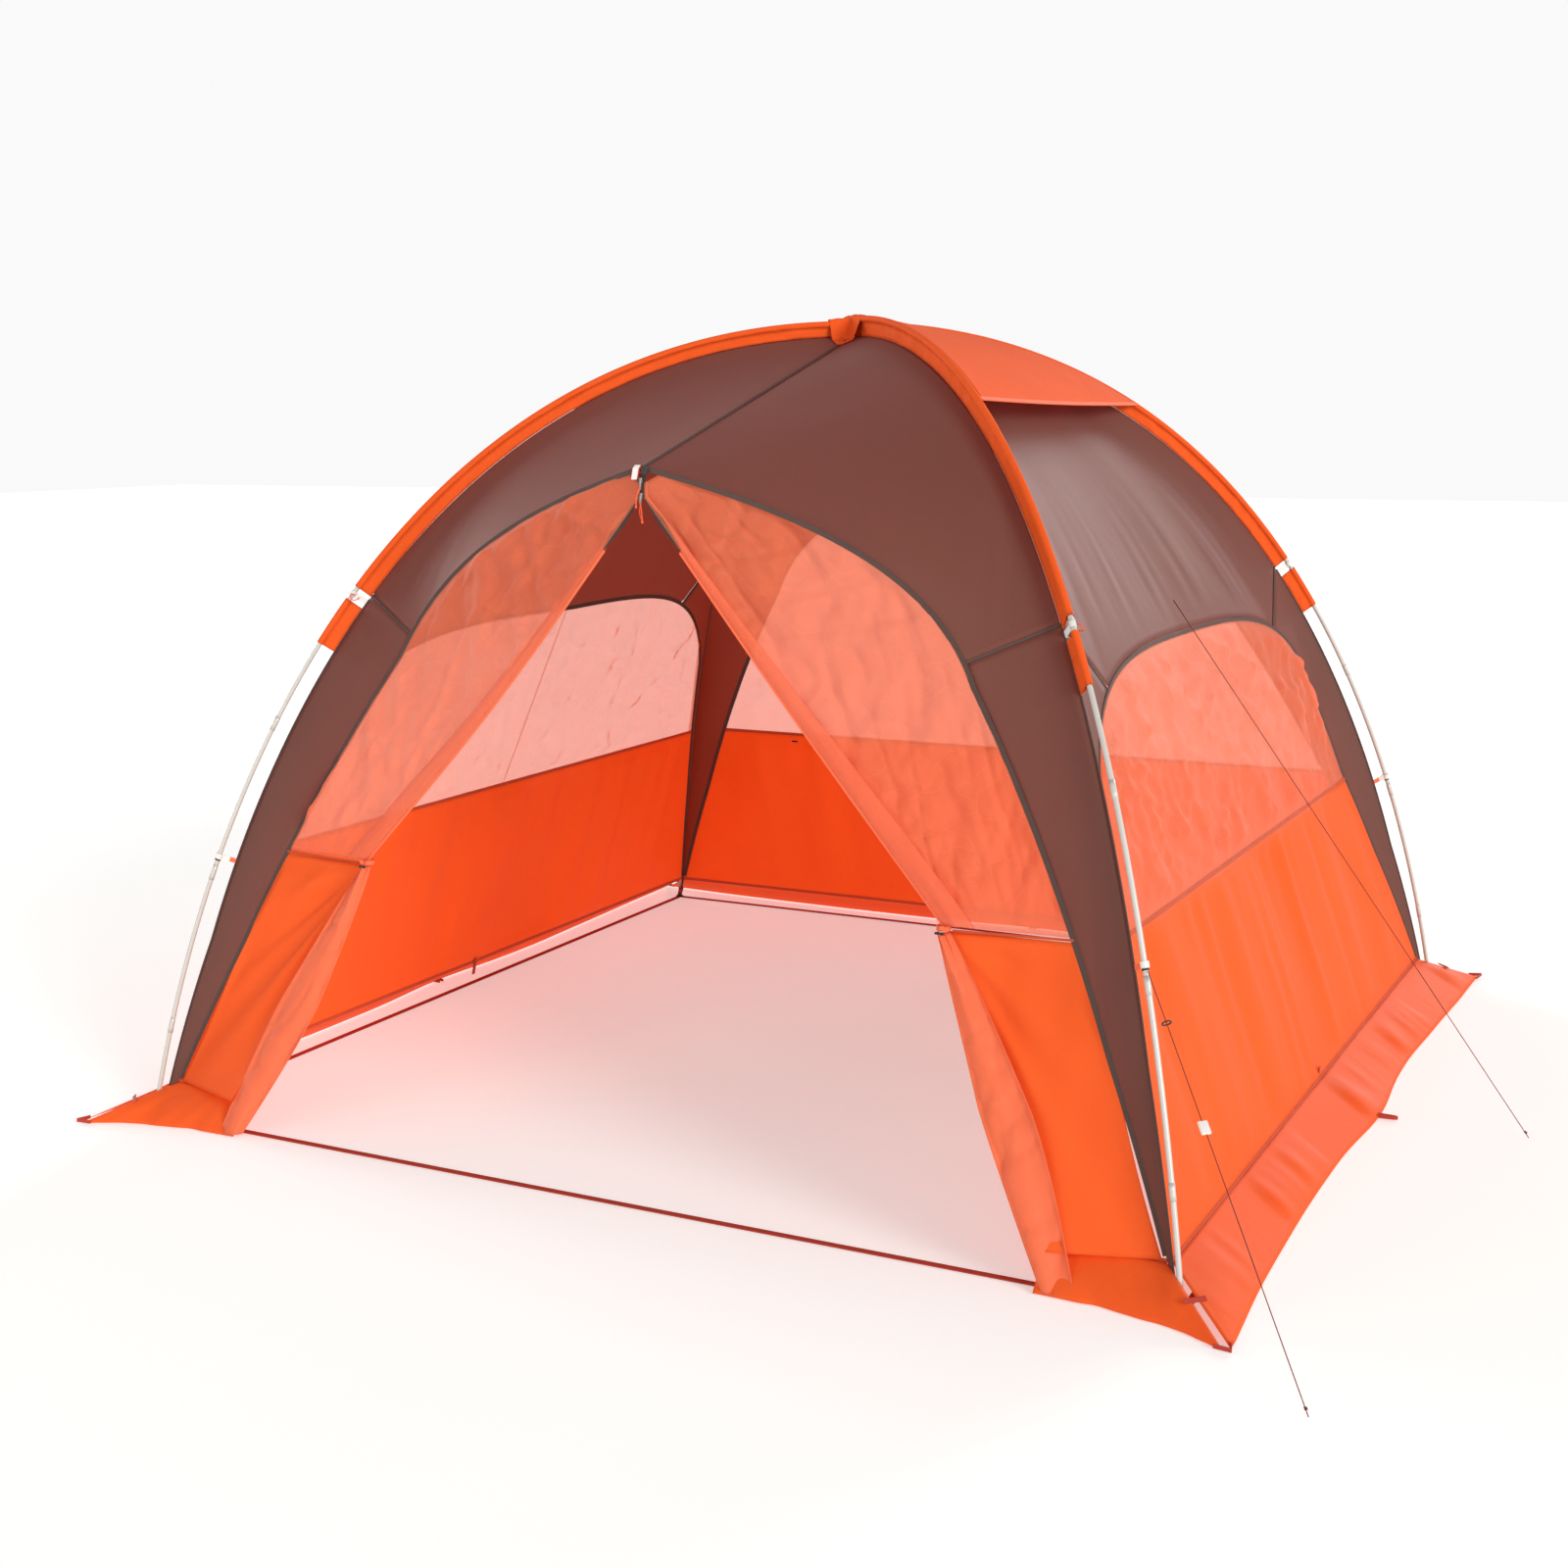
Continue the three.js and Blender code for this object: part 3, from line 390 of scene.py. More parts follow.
def cloth_mesh(name, grid, material, thickness, relief=None):
    """A closed sheet of cloth on a grid, pushed out by relief(x, y, u, v)."""
    rows, columns = grid.shape[:2]
    x, y = measures(grid)
    u, v = np.meshgrid(np.linspace(0, 1, columns), np.linspace(0, 1, rows))
    if relief is not None:
        grid = grid + normals_of(grid) * relief(x, y, u, v)[..., None]
    normal = normals_of(grid) * thickness / 2
    vertices = np.concatenate([(grid + normal).reshape(-1, 3), (grid - normal).reshape(-1, 3)])
    under = rows * columns
    index = np.arange(under).reshape(rows, columns)
    a, b, c, d = index[:-1, :-1], index[:-1, 1:], index[1:, 1:], index[1:, :-1]
    quads = np.stack([a, b, c, d], -1).reshape(-1, 4)
    faces = [tuple(q) for q in quads] + [tuple(q[::-1] + under) for q in quads]
    rim = np.concatenate([index[0, :-1], index[:-1, -1], index[-1, :0:-1], index[:0:-1, 0]])
    following = np.roll(rim, -1)
    faces += [(p + under, q + under, q, p) for p, q in zip(rim, following)]
    uv = np.stack([np.tile(x.ravel(), 2), np.tile(y.ravel(), 2)], 1)
    piece = new_object(name, vertices, facing_out(vertices, faces), material, uv)
    return piece, grid, (float(x.max() - x.min()), float(y.max()))


def cloth(name, grid, material, held, relief=None, nodes=(), rests_on=()):
    """A sheet of cloth on the root body that stands for its simple solid."""
    piece, grid, (width, length) = cloth_mesh(name, grid, material, sizes().cloth, relief)
    dress(piece, "root", nodes)
    return piece


def frames_along(path):
    """Directions along a line, with two more square to it that don't twist."""
    tangents = np.gradient(path, axis=0)
    tangents /= np.linalg.norm(tangents, axis=1)[:, None]
    side = np.cross(tangents[0], (0, 0, 1))
    if np.linalg.norm(side) < 1e-3:
        side = np.cross(tangents[0], (0, 1, 0))
    sides = []
    for t in tangents:
        side = side - t * np.dot(side, t)
        side = side / np.linalg.norm(side)
        sides.append(side)
    sides = np.array(sides)
    return tangents, sides, np.cross(tangents, sides)


def quads_round(rings, sides, closed=False):
    """Faces between neighbouring rings of points, and back to the first if closed."""
    faces = []
    for k in range(rings if closed else rings - 1):
        here, following = k * sides, (k + 1) % rings * sides
        for i in range(sides):
            j = (i + 1) % sides
            faces.append((here + i, here + j, following + j, following + i))
    return faces


def length_along(points):
    """The distance run at each point of a line."""
    steps = np.linalg.norm(np.diff(points, axis=0), axis=1)
    return np.concatenate([[0], np.cumsum(steps)])


def lofted(name, path, ring, material, body="root", nodes=()):
    """A closed tube along a line. ring(k) gives its section's side and up offsets."""
    path = np.asarray(path, float)
    _, sides, ups = frames_along(path)
    rings = []
    for k in range(len(path)):
        across, up = ring(k)
        rings.append(path[k] + np.outer(across, sides[k]) + np.outer(up, ups[k]))
    count = len(rings[0])
    vertices = np.concatenate([*rings, [path[0]], [path[-1]]])
    faces = quads_round(len(path), count)
    last = (len(path) - 1) * count
    first_cap, last_cap = len(vertices) - 2, len(vertices) - 1
    for i in range(count):
        j = (i + 1) % count
        faces += [(first_cap, j, i), (last_cap, last + i, last + j)]
    run = length_along(path)
    uv = [(i / count, run[k]) for k in range(len(path)) for i in range(count)]
    uv += [(0, run[0]), (0, run[-1])]
    piece = new_object(name, vertices, facing_out(vertices, faces), material, uv)
    dress(piece, body, nodes)
    return piece


def dress(piece, body="root", nodes=()):
    """Says what the piece moves with, what it stands for and how its finish is listed."""
    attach(piece, body)
    if nodes:
        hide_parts(*nodes)


def round_ring(radius, sides):
    """A round section for lofted(). The radius may be a function of the point's number."""
    angles = np.linspace(0, 2 * math.pi, sides, endpoint=False)
    across, up = np.cos(angles), np.sin(angles)
    if callable(radius):
        return lambda k: (across * radius(k), up * radius(k))
    return lambda k: (across * radius, up * radius)


def tape(name, path, across, width, thickness, material):
    """A flat tape along a line. across gives its width's direction at each point."""
    path = np.asarray(path, float)
    across = np.asarray(across, float)
    across = across / np.linalg.norm(across, axis=-1, keepdims=True)
    along = np.gradient(path, axis=0)
    normal = np.cross(along, across)
    normal /= np.maximum(np.linalg.norm(normal, axis=1), 1e-12)[:, None]
    offsets = [(-0.5, -0.5), (0.5, -0.5), (0.5, 0.5), (-0.5, 0.5)]
    rings = [path + across * (a * width) + normal * (b * thickness) for a, b in offsets]
    vertices = np.stack(rings, 1).reshape(-1, 3)
    faces = [(0, 1, 2, 3), tuple(len(vertices) - 4 + i for i in (3, 2, 1, 0))]
    faces += [(a, d, c, b) for a, b, c, d in quads_round(len(path), 4)]
    uv = [(a * width, run) for run in length_along(path) for a, _ in offsets]
    piece = new_object(name, vertices, facing_out(vertices, faces), material, uv, smooth=False)
    dress(piece)
    return piece


# ---- Materials ------------------------------------------------------------
MATERIALS = {}
THREAD_DEPTH = 0.0006


def add_node(tree, kind, settings=None, **inputs):
    """Adds a node. Inputs are values, or sockets to link from. A key such as i0 is a
    socket's number, and any other key is its name."""
    node = tree.nodes.new(kind)
    for key, value in (settings or {}).items():
        setattr(node, key, value)
    for key, value in inputs.items():
        numbered = key[0] == "i" and key[1:].isdigit()
        socket = node.inputs[int(key[1:]) if numbered else key.replace("_", " ")]
        if isinstance(value, bpy.types.NodeSocket):
            tree.links.new(value, socket)
        else:
            socket.default_value = value
    return node


def new_material(name):
    """An empty material, noted under its name with the slot that it is listed as."""
    material = bpy.data.materials.new(name)
    material.use_nodes = True
    material.node_tree.nodes.clear()
    MATERIALS[name] = material
    return material.node_tree


def object_place(tree):
    return add_node(tree, "ShaderNodeTexCoord").outputs["Object"]


def maths(tree, operation, a, b):
    return add_node(tree, "ShaderNodeMath", {"operation": operation}, i0=a, i1=b).outputs[0]


def mixed(tree, share, first, second):
    """A blend of two shaders."""
    blend = add_node(
        tree, "ShaderNodeMixShader", i0=share, i1=first.outputs[0], i2=second.outputs[0]
    )
    return blend.outputs[0]


def finish_shader(tree, shader):
    add_node(tree, "ShaderNodeOutputMaterial", Surface=shader)


def tinted(tree, colour, amount, scale, seed):
    """The colour, a little lighter and darker from place to place."""
    moved = add_node(
        tree, "ShaderNodeMapping", Vector=object_place(tree), Location=(seed, seed, 0)
    ).outputs[0]
    cloud = add_node(tree, "ShaderNodeTexNoise", Vector=moved, Scale=scale, Detail=4.0)
    light = tuple(min(c * (1 + amount), 1) for c in colour[:3]) + (1,)
    dark = tuple(c * (1 - amount) for c in colour[:3]) + (1,)
    share = cloud.outputs["Fac"]
    mix = add_node(tree, "ShaderNodeMix", {"data_type": "RGBA"}, i0=share, i6=dark, i7=light)
    return mix.outputs[2]


def wave_scale(spacing):
    """A wave texture's scale for bands at a real spacing in metres."""
    return 1 / (spacing * 20) * math.pi


def bands(tree, direction, spacing):
    place = add_node(tree, "ShaderNodeTexCoord").outputs["UV"]
    wave = add_node(
        tree,
        "ShaderNodeTexWave",
        {"bands_direction": direction},
        Vector=place,
        Scale=wave_scale(spacing),
    )
    return wave.outputs["Fac"]


def weave_height(tree, spacing):
    """Crossing threads on the cloth's own measure, as a height."""
    return maths(tree, "ADD", bands(tree, "X", spacing), bands(tree, "Y", spacing))


CREASE_DEPTH = 0.12  # the crease lines' share of a cell; its middle stays flat


def crinkle_height(tree, scale):
    """Small packing creases that are too fine to model."""
    place = object_place(tree)
    cloud = add_node(tree, "ShaderNodeTexNoise", Vector=place, Scale=scale * 0.5, Detail=2.0)
    bend = {"operation": "SCALE"}
    push = add_node(tree, "ShaderNodeVectorMath", bend, i0=cloud.outputs["Color"], Scale=0.25)
    shift = {"operation": "ADD"}
    moved = add_node(tree, "ShaderNodeVectorMath", shift, i0=place, i1=push.outputs[0])
    cells = add_node(
        tree,
        "ShaderNodeTexVoronoi",
        {"feature": "DISTANCE_TO_EDGE"},
        Vector=moved.outputs[0],
        Scale=scale,
    )
    return maths(tree, "MINIMUM", cells.outputs["Distance"], CREASE_DEPTH)


def woven(
    name, colour, glow, through, roughness=0.6, spacing=0.004, weave=0.12, crinkle=0.15,
    shine=0.22,
):
    """Thin coated polyester: threads that just show, a soft sheen, and light that
    comes through it in a warmer colour. The thread spacing is drawn coarser than the
    real cloth's quarter of a millimetre, so that it shows at all."""
    tree = new_material(name)
    base = tinted(tree, colour, 0.07, 3.0, len(name))
    threads = weave_height(tree, spacing)
    bump = add_node(tree, "ShaderNodeBump", Height=threads, Strength=weave, Distance=THREAD_DEPTH)
    bump = add_node(
        tree,
        "ShaderNodeBump",
        Height=crinkle_height(tree, 9),
        Strength=crinkle,
        Distance=0.02,
        Normal=bump.outputs[0],
    )
    face = add_node(
        tree,
        "ShaderNodeBsdfPrincipled",
        Base_Color=base,
        Roughness=roughness,
        Normal=bump.outputs[0],
        Specular_IOR_Level=shine,
        Sheen_Weight=shine * 0.25,
    )
    lit = add_node(tree, "ShaderNodeBsdfTranslucent", Color=glow, Normal=bump.outputs[0])
    finish_shader(tree, mixed(tree, through, face, lit))


def netting(name, colour, cover):
    """Fine insect net: a haze of orange threads that is seen through. Its holes are too
    small to show, so the cloth as a whole lets a share of the light pass, and a little
    less of it at the creases."""
    tree = new_material(name)
    base = tinted(tree, colour, 0.08, 5.0, 3)
    small = crinkle_height(tree, 11)
    bump = add_node(tree, "ShaderNodeBump", Height=small, Strength=0.22, Distance=0.02)
    face = add_node(
        tree,
        "ShaderNodeBsdfPrincipled",
        Base_Color=base,
        Roughness=0.7,
        Normal=bump.outputs[0],
        Sheen_Weight=0.2,
    )
    lit = add_node(tree, "ShaderNodeBsdfTranslucent", Color=colour, Normal=bump.outputs[0])
    clear = add_node(tree, "ShaderNodeBsdfTransparent")
    patch = add_node(tree, "ShaderNodeTexNoise", Vector=object_place(tree), Scale=2.5)
    near = add_node(
        tree, "ShaderNodeMapRange", Value=small, From_Max=0.03, To_Min=0.07, To_Max=0.0
    )
    fade = maths(tree, "MULTIPLY", near.outputs[0], patch.outputs["Fac"])
    threads = add_node(tree, "ShaderNodeMixShader", i0=0.4, i1=face.outputs[0], i2=lit.outputs[0])
    finish_shader(tree, mixed(tree, maths(tree, "ADD", fade, cover), clear, threads))


def solid(name, colour, roughness, metallic=0.0, grain=120.0, bump=0.1):
    """Moulded plastic or metal: a fine surface grain that breaks up its gloss."""
    tree = new_material(name)
    cloud = add_node(
        tree, "ShaderNodeTexNoise", Vector=object_place(tree), Scale=grain, Detail=3.0
    ).outputs["Fac"]
    height = add_node(tree, "ShaderNodeBump", Height=cloud, Strength=bump, Distance=0.0004)
    low, high = roughness * 0.85, min(roughness * 1.15, 1)
    rough = add_node(tree, "ShaderNodeMapRange", Value=cloud, To_Min=low, To_Max=high)
    base = tinted(tree, colour, 0.05, 20.0, 1)
    principled = add_node(
        tree,
        "ShaderNodeBsdfPrincipled",
        Base_Color=base,
        Roughness=rough.outputs[0],
        Metallic=metallic,
        Normal=height.outputs[0],
    )
    finish_shader(tree, principled.outputs[0])


def ribbed(name, colour, pitch):
    """Woven tape or braided cord: close ribs across its length."""
    tree = new_material(name)
    ribs = bands(tree, "DIAGONAL", pitch)
    bump = add_node(tree, "ShaderNodeBump", Height=ribs, Strength=0.5, Distance=THREAD_DEPTH)
    principled = add_node(
        tree,
        "ShaderNodeBsdfPrincipled",
        Base_Color=tinted(tree, colour, 0.12, 30.0, 2),
        Roughness=0.8,
        Normal=bump.outputs[0],
    )
    finish_shader(tree, principled.outputs[0])


def make_materials():
    c = bpy.context.scene.shelter_colours
    glow, cloth_slot = srgb("FF8C00"), "orange_cloth"
    woven("polyester_orange", c.orange[:], glow, 0.42, crinkle=0.12, shine=0.12)
    # the doors' tied halves lie double, so less light comes through and it looks duller
    woven("polyester_folded", srgb("F27A50"), glow, 0.28, crinkle=0.18, shine=0.25)
    # its square grid of thicker threads is a deeper weave, and the cloth is matt
    ripstop = c.ripstop[:]
    woven("ripstop_orange", ripstop, glow, 0.16, 0.75, 0.005, 0.3, shine=0.04)
    warm = srgb("FF7A20")
    woven("polyester_brown", c.brown[:], warm, 0.33, crinkle=0.05, shine=0.2)
    netting("net_orange", c.net[:], 0.5)
    solid("anodised_tube", c.pole[:], 0.38, metallic=0.2, grain=260, bump=0.05)
    solid("black_nylon", srgb("252322"), 0.5)
    solid("white_nylon", srgb("DEDAD2"), 0.5)
    solid("plated_steel", srgb("8E8A85"), 0.3, metallic=0.9)
    ribbed("tape_red", c.web[:], 0.0022)
    # the binding's colour, partly painted shade along the open edges; the same tape also covers the
    # seams
    ribbed("tape_brown", c.binding[:], 0.0016)
    # dark zip tape; the same finish paints the shadow lens beside the parted zip
    ribbed("tape_zip_and_shadow", srgb("3E2A26"), 0.0014)
    ribbed("tape_seam", srgb("B8441C"), 0.0016)
    ribbed("tape_orange", srgb("EE6A40"), 0.0016)
    ribbed("tape_white", srgb("E4E0DA"), 0.0016)
    ribbed("cord_red", srgb("7A2E22"), 0.002)
    ribbed("cord_orange", srgb("F4602E"), 0.002)


def sizes():
    return bpy.context.scene.shelter_sizes


def curves():
    return Curves(sizes())


def mat(name):
    return MATERIALS[name]


# ---- Camera and stage -----------------------------------------------------
CAMERA_PLACE = (2.591, -5.5224, 1.8926)
CAMERA_TURN = (27.12, 10.14, -0.374)  # degrees from -Y towards +X, down, roll
LENS = 47.54  # millimetres, on a 36 mm sensor
FLOOR_HALF = 40
SKY = ((0.2, 0.95), (0.85, 0.22))  # brightness at and below one height, and at another
LIT_PLACE = (0, 0, 0.8)
LAMP_ANGLE = math.radians(24)
LAMPS = [
    ("key", (7.5, -3.0, 3.4), 2.1),
    ("fill", (-6.5, 1.5, 2.6), 1.6),
    ("back", (0.5, 7.5, 3.0), 1.4),
    ("front", (-1.5, -8.0, 2.6), 0.45),
]


def make_camera():
    """Stands where the shelter's open door and right side both show."""
    camera = bpy.data.objects.new("camera", bpy.data.cameras.new("camera"))
    bpy.context.collection.objects.link(camera)
    camera.data.lens = LENS
    camera.data.sensor_width = 36
    azimuth, down, roll = (math.radians(turn) for turn in CAMERA_TURN)
    level = Vector((-math.sin(azimuth), math.cos(azimuth), 0)) * math.cos(down)
    ahead = level - Vector((0, 0, math.sin(down)))
    right = Vector((math.cos(azimuth), math.sin(azimuth), 0))
    up = right.cross(ahead)
    turned_right = right * math.cos(roll) + up * math.sin(roll)
    turned_up = -right * math.sin(roll) + up * math.cos(roll)
    basis = Matrix((turned_right, turned_up, -ahead)).transposed()
    camera.matrix_world = Matrix.Translation(CAMERA_PLACE) @ basis.to_4x4()
    bpy.context.scene.camera = camera


def make_stage():
    """A pale floor that glows a little, a sky that is brightest at its rim, and lamps."""
    mesh = bpy.data.meshes.new("floor")
    corners = [(x * FLOOR_HALF, y * FLOOR_HALF, 0) for x, y in ((-1, -1), (1, -1), (1, 1), (-1, 1))]
    mesh.from_pydata(corners, [], [(0, 1, 2, 3)])
    floor = bpy.data.objects.new("floor", mesh)
    floor.location.z = -0.002
    tree = new_material("floor_paint")
    colour = bpy.context.scene.shelter_colours.floor[:]
    principled = add_node(
        tree,
        "ShaderNodeBsdfPrincipled",
        Base_Color=tinted(tree, colour, 0.01, 0.5, 1),
        Roughness=1.0,
        Specular_IOR_Level=0.1,
        Emission_Color=(1, 1, 1, 1),
        Emission_Strength=0.38,
    )
    finish_shader(tree, principled.outputs[0])
    mesh.materials.append(mat("floor_paint"))
    bpy.context.collection.objects.link(floor)

    world = bpy.data.worlds.new("studio")
    bpy.context.scene.world = world
    world.use_nodes = True
    sky = world.node_tree
    background = sky.nodes["Background"]
    background.inputs["Color"].default_value = (1, 1, 1, 1)
    way = add_node(sky, "ShaderNodeTexCoord").outputs["Generated"]
    height = add_node(sky, "ShaderNodeSeparateXYZ", Vector=way).outputs["Z"]
    (low, rim), (high, zenith) = SKY
    shade = add_node(
        sky,
        "ShaderNodeMapRange",
        Value=height,
        From_Min=low,
        From_Max=high,
        To_Min=rim,
        To_Max=zenith,
    )
    sky.links.new(shade.outputs[0], background.inputs["Strength"])
    for name, place, power in LAMPS:
        light = bpy.data.lights.new(name, "SUN")
        light.angle = LAMP_ANGLE
        light.energy = power
        lamp = bpy.data.objects.new(name, light)
        lamp.location = place
        turn = (Vector(LIT_PLACE) - Vector(place)).to_track_quat("-Z", "Y")
        lamp.rotation_euler = turn.to_euler()
        bpy.context.collection.objects.link(lamp)
    bpy.context.scene.view_settings.view_transform = "Standard"


# ---- Guylines -------------------------------------------------------------
RIGHT_LINE = [(0.962, 0.0, 1.384), (1.96, 0.0, 0.0016)]
LEFT_LINE = [(-0.962, 0.0, 1.384), (-1.715, 0.2, 0.0016)]
LINE_RADIUS = 0.0012


LINE_CORD = "cord_red"


def node_middle(name):
    low, high = (np.array(p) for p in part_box(name))
    return (low + high) / 2


def corner_line():
    """The front right guyline's two ends, from its own box."""
    low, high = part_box("guyline_front_right")
    upper = (low[0] + 0.0006, high[1] - 0.0006, high[2] - 0.0008)
    return [upper, (high[0] - 0.0009, low[1] + 0.0009, 0.0016)]


def make_guylines():
    for name, ends in (
        ("guyline_right", RIGHT_LINE),
        ("guyline_left", LEFT_LINE),
        ("guyline_front_right", corner_line()),
    ):
        path = lerp(ends[0], ends[1], np.linspace(0, 1, 25)[:, None])
        cord = round_ring(LINE_RADIUS, 8)
        line = lofted(f"{name}_cord", path, cord, mat(LINE_CORD), nodes=(name,))
        length = float(np.linalg.norm(path[-1] - path[0]))
        ahead = (path[-1] - path[0]) / length
        knot = cord_knot(f"{name}_knot", path[-1] - ahead * 0.012, ahead)
        with_pieces = [knot]
        if name == "guyline_front_right":
            with_pieces += [make_ring(ahead), make_lock(ahead)]


def square_to(ahead):
    """A level direction square to a line, and the one square to both."""
    side = np.cross(ahead, (0, 0, 1))
    side /= np.linalg.norm(side)
    return side, np.cross(side, ahead)


def cord_knot(name, place, ahead):
    """Three close turns of the cord round itself."""
    turns, steps, radius, rise = 3, 14, 2.1 * LINE_RADIUS, 0.0022
    side, up = square_to(ahead)
    points = []
    for k in range(turns * steps + 1):
        angle = 2 * math.pi * k / steps
        out = side * radius * math.cos(angle) + up * radius * math.sin(angle)
        points.append(place + out - ahead * rise * k / steps)
    lifted = np.array(points) + (0, 0, 0.002)
    return lofted(name, lifted, round_ring(LINE_RADIUS * 0.9, 6), mat(LINE_CORD))


def make_ring(ahead):
    """A moulded ring, threaded on the line."""
    middle = node_middle("line_ring")
    side, up = square_to(ahead)
    count, around, radius, wire = 40, 10, 0.01, 0.0019
    vertices, faces = [], []
    for k in range(count):
        a = 2 * math.pi * k / count
        out = side * math.cos(a) + up * math.sin(a)
        for i in range(around):
            b = 2 * math.pi * i / around
            reach = radius + wire * math.cos(b)
            vertices.append(middle + out * reach + ahead * wire * math.sin(b))
            j, n = (i + 1) % around, ((k + 1) % count) * around
            faces.append((k * around + i, n + i, n + j, k * around + j))
    faces = facing_out(vertices, faces)
    ring = new_object("line_ring_moulded", vertices, faces, mat("black_nylon"))
    dress(ring, "ring", ("line_ring",))
    return ring


def make_lock(ahead):
    """A flat line lock with rounded edges, threaded on the line."""
    basis = Matrix([Vector(way) for way in (*square_to(ahead), ahead)]).transposed().to_4x4()
    piece = rounded_block("line_lock_moulded", (0.022, 0.007, 0.03), 0.002, mat("white_nylon"))
    piece.data.transform(Matrix.Translation(Vector(node_middle("line_lock"))) @ basis)
    dress(piece, "lock", ("line_lock",))
    return piece


def rounded_block(name, size, radius, material, place=(0, 0, 0)):
    """A box with rounded edges, with its middle at a place."""
    mesh = bpy.data.meshes.new(name)
    work = bmesh.new()
    bmesh.ops.create_cube(work, size=1.0)
    bmesh.ops.scale(work, vec=size, verts=work.verts)
    edges = work.edges[:]
    bmesh.ops.bevel(work, geom=edges, offset=radius, segments=3, profile=0.5, affect="EDGES")
    work.to_mesh(mesh)
    work.free()
    mesh.transform(Matrix.Translation(Vector(place)))
    mesh.materials.append(material)
    mesh.polygons.foreach_set("use_smooth", [True] * len(mesh.polygons))
    piece = bpy.data.objects.new(name, mesh)
    bpy.context.collection.objects.link(piece)
    return piece


# ---- Poles ----------------------------------------------------------------
FERRULES = (0.22, 0.66, 1.10)  # starts of the pole joints, along each pole
FERRULE_LENGTH = 0.045


def on_diagonal(corner, points):
    """Turns out along a corner's diagonal, height into the shelter's own x, y, z."""
    x, y = CORNERS[corner]
    r, z = points[..., 0], points[..., 1]
    return np.stack([x * r / ROOT2, y * r / ROOT2, z], -1)


def pole_line(cv, corner, top=None, bottom=0.04, count=60):
    """A stretch of one pole from the crest, or a height, down to another."""
    line = cv.poles[corner]
    keep = line[:, 1] >= bottom
    if top is not None:
        keep &= line[:, 1] <= top
    return along_line(on_diagonal(corner, line[keep]), count)


def make_poles():
    cv = curves()
    s = sizes()
    for name, near, far in (
        ("arch_pole_upper", "front_right", "back_left"),
        ("arch_pole_lower", "front_left", "back_right"),
    ):
        half = pole_line(cv, near, count=110)[::-1]
        path = np.concatenate([half, pole_line(cv, far, count=110)[1:]])
        ring = round_ring(s.pole_radius, 20)
        lofted(f"{name}_tube", path, ring, mat("anodised_tube"), nodes=(name,))
    for corner in CORNERS:
        line = pole_line(cv, corner, top=1.28, count=400)
        run = length_along(line)
        for k, start in enumerate(FERRULES):
            keep = (run >= start) & (run <= start + FERRULE_LENGTH)
            sleeve = round_ring(s.pole_radius + 0.0009, 20)
            lofted(f"ferrule_{corner}_{k}", along_line(line[keep], 4), sleeve, mat("anodised_tube"))
        make_tip(corner, line)


def make_tip(corner, line):
    """A moulded end with a collar, a waist and a ball that stands on the tape."""
    end = line[-1]
    down = line[-1] - line[-2]
    down /= np.linalg.norm(down)
    reach = (end[2] - 0.0027) / -down[2]
    collar = [(0.0003, 0.0058), (0.0012, 0.0066), (0.009, 0.0066), (0.0105, 0.005)]
    ball = [(0.014, 0.0042), (0.010, 0.0046), (0.007, 0.0056), (0.0045, 0.0052), (0.0028, 0.003)]
    profile = collar + [(reach - above, radius) for above, radius in ball]
    path = np.array([end + down * d for d, _ in profile])
    lofted(
        f"pole_tip_{corner}_moulded",
        path,
        round_ring(lambda k: profile[k][1], 18),
        mat("black_nylon"),
        nodes=(f"pole_tip_{corner}",),
    )


# ---- Sleeves --------------------------------------------------------------
def sleeve_section(s, depth, slack):
    """A strip folded round the pole: outer line down one side, back up the other."""
    outer = s.pole_radius + 0.0026
    inner = s.pole_radius + 0.0015
    fin = 0.0013
    start = -math.pi / 2 + math.asin(fin / outer)
    angles = np.linspace(start, math.pi - start, 17)
    ring = [(outer * math.cos(a), outer * math.sin(a)) for a in angles]
    levels = np.linspace(-depth, ring[0][1], 5)[:-1]
    right = [(fin + slack * math.sin(math.pi * k / 4), z) for k, z in enumerate(levels)]
    left = [(-fin + slack * math.sin(math.pi * k / 4), z) for k, z in enumerate(levels)][::-1]
    back = -math.pi / 2 + math.asin(0.0002 / inner)
    turns = np.linspace(math.pi - back, back, 13)
    hollow = [(inner * math.cos(a), inner * math.sin(a)) for a in turns]
    sways = [slack * math.sin(math.pi * k / 4) for k in range(len(levels))]
    inside_left = [(-0.0002 + sway, z) for sway, z in zip(sways, levels)]
    inside_right = [(0.0002 + sway, z) for sway, z in zip(sways, levels)][::-1]
    return right + ring + left + inside_left + hollow + inside_right


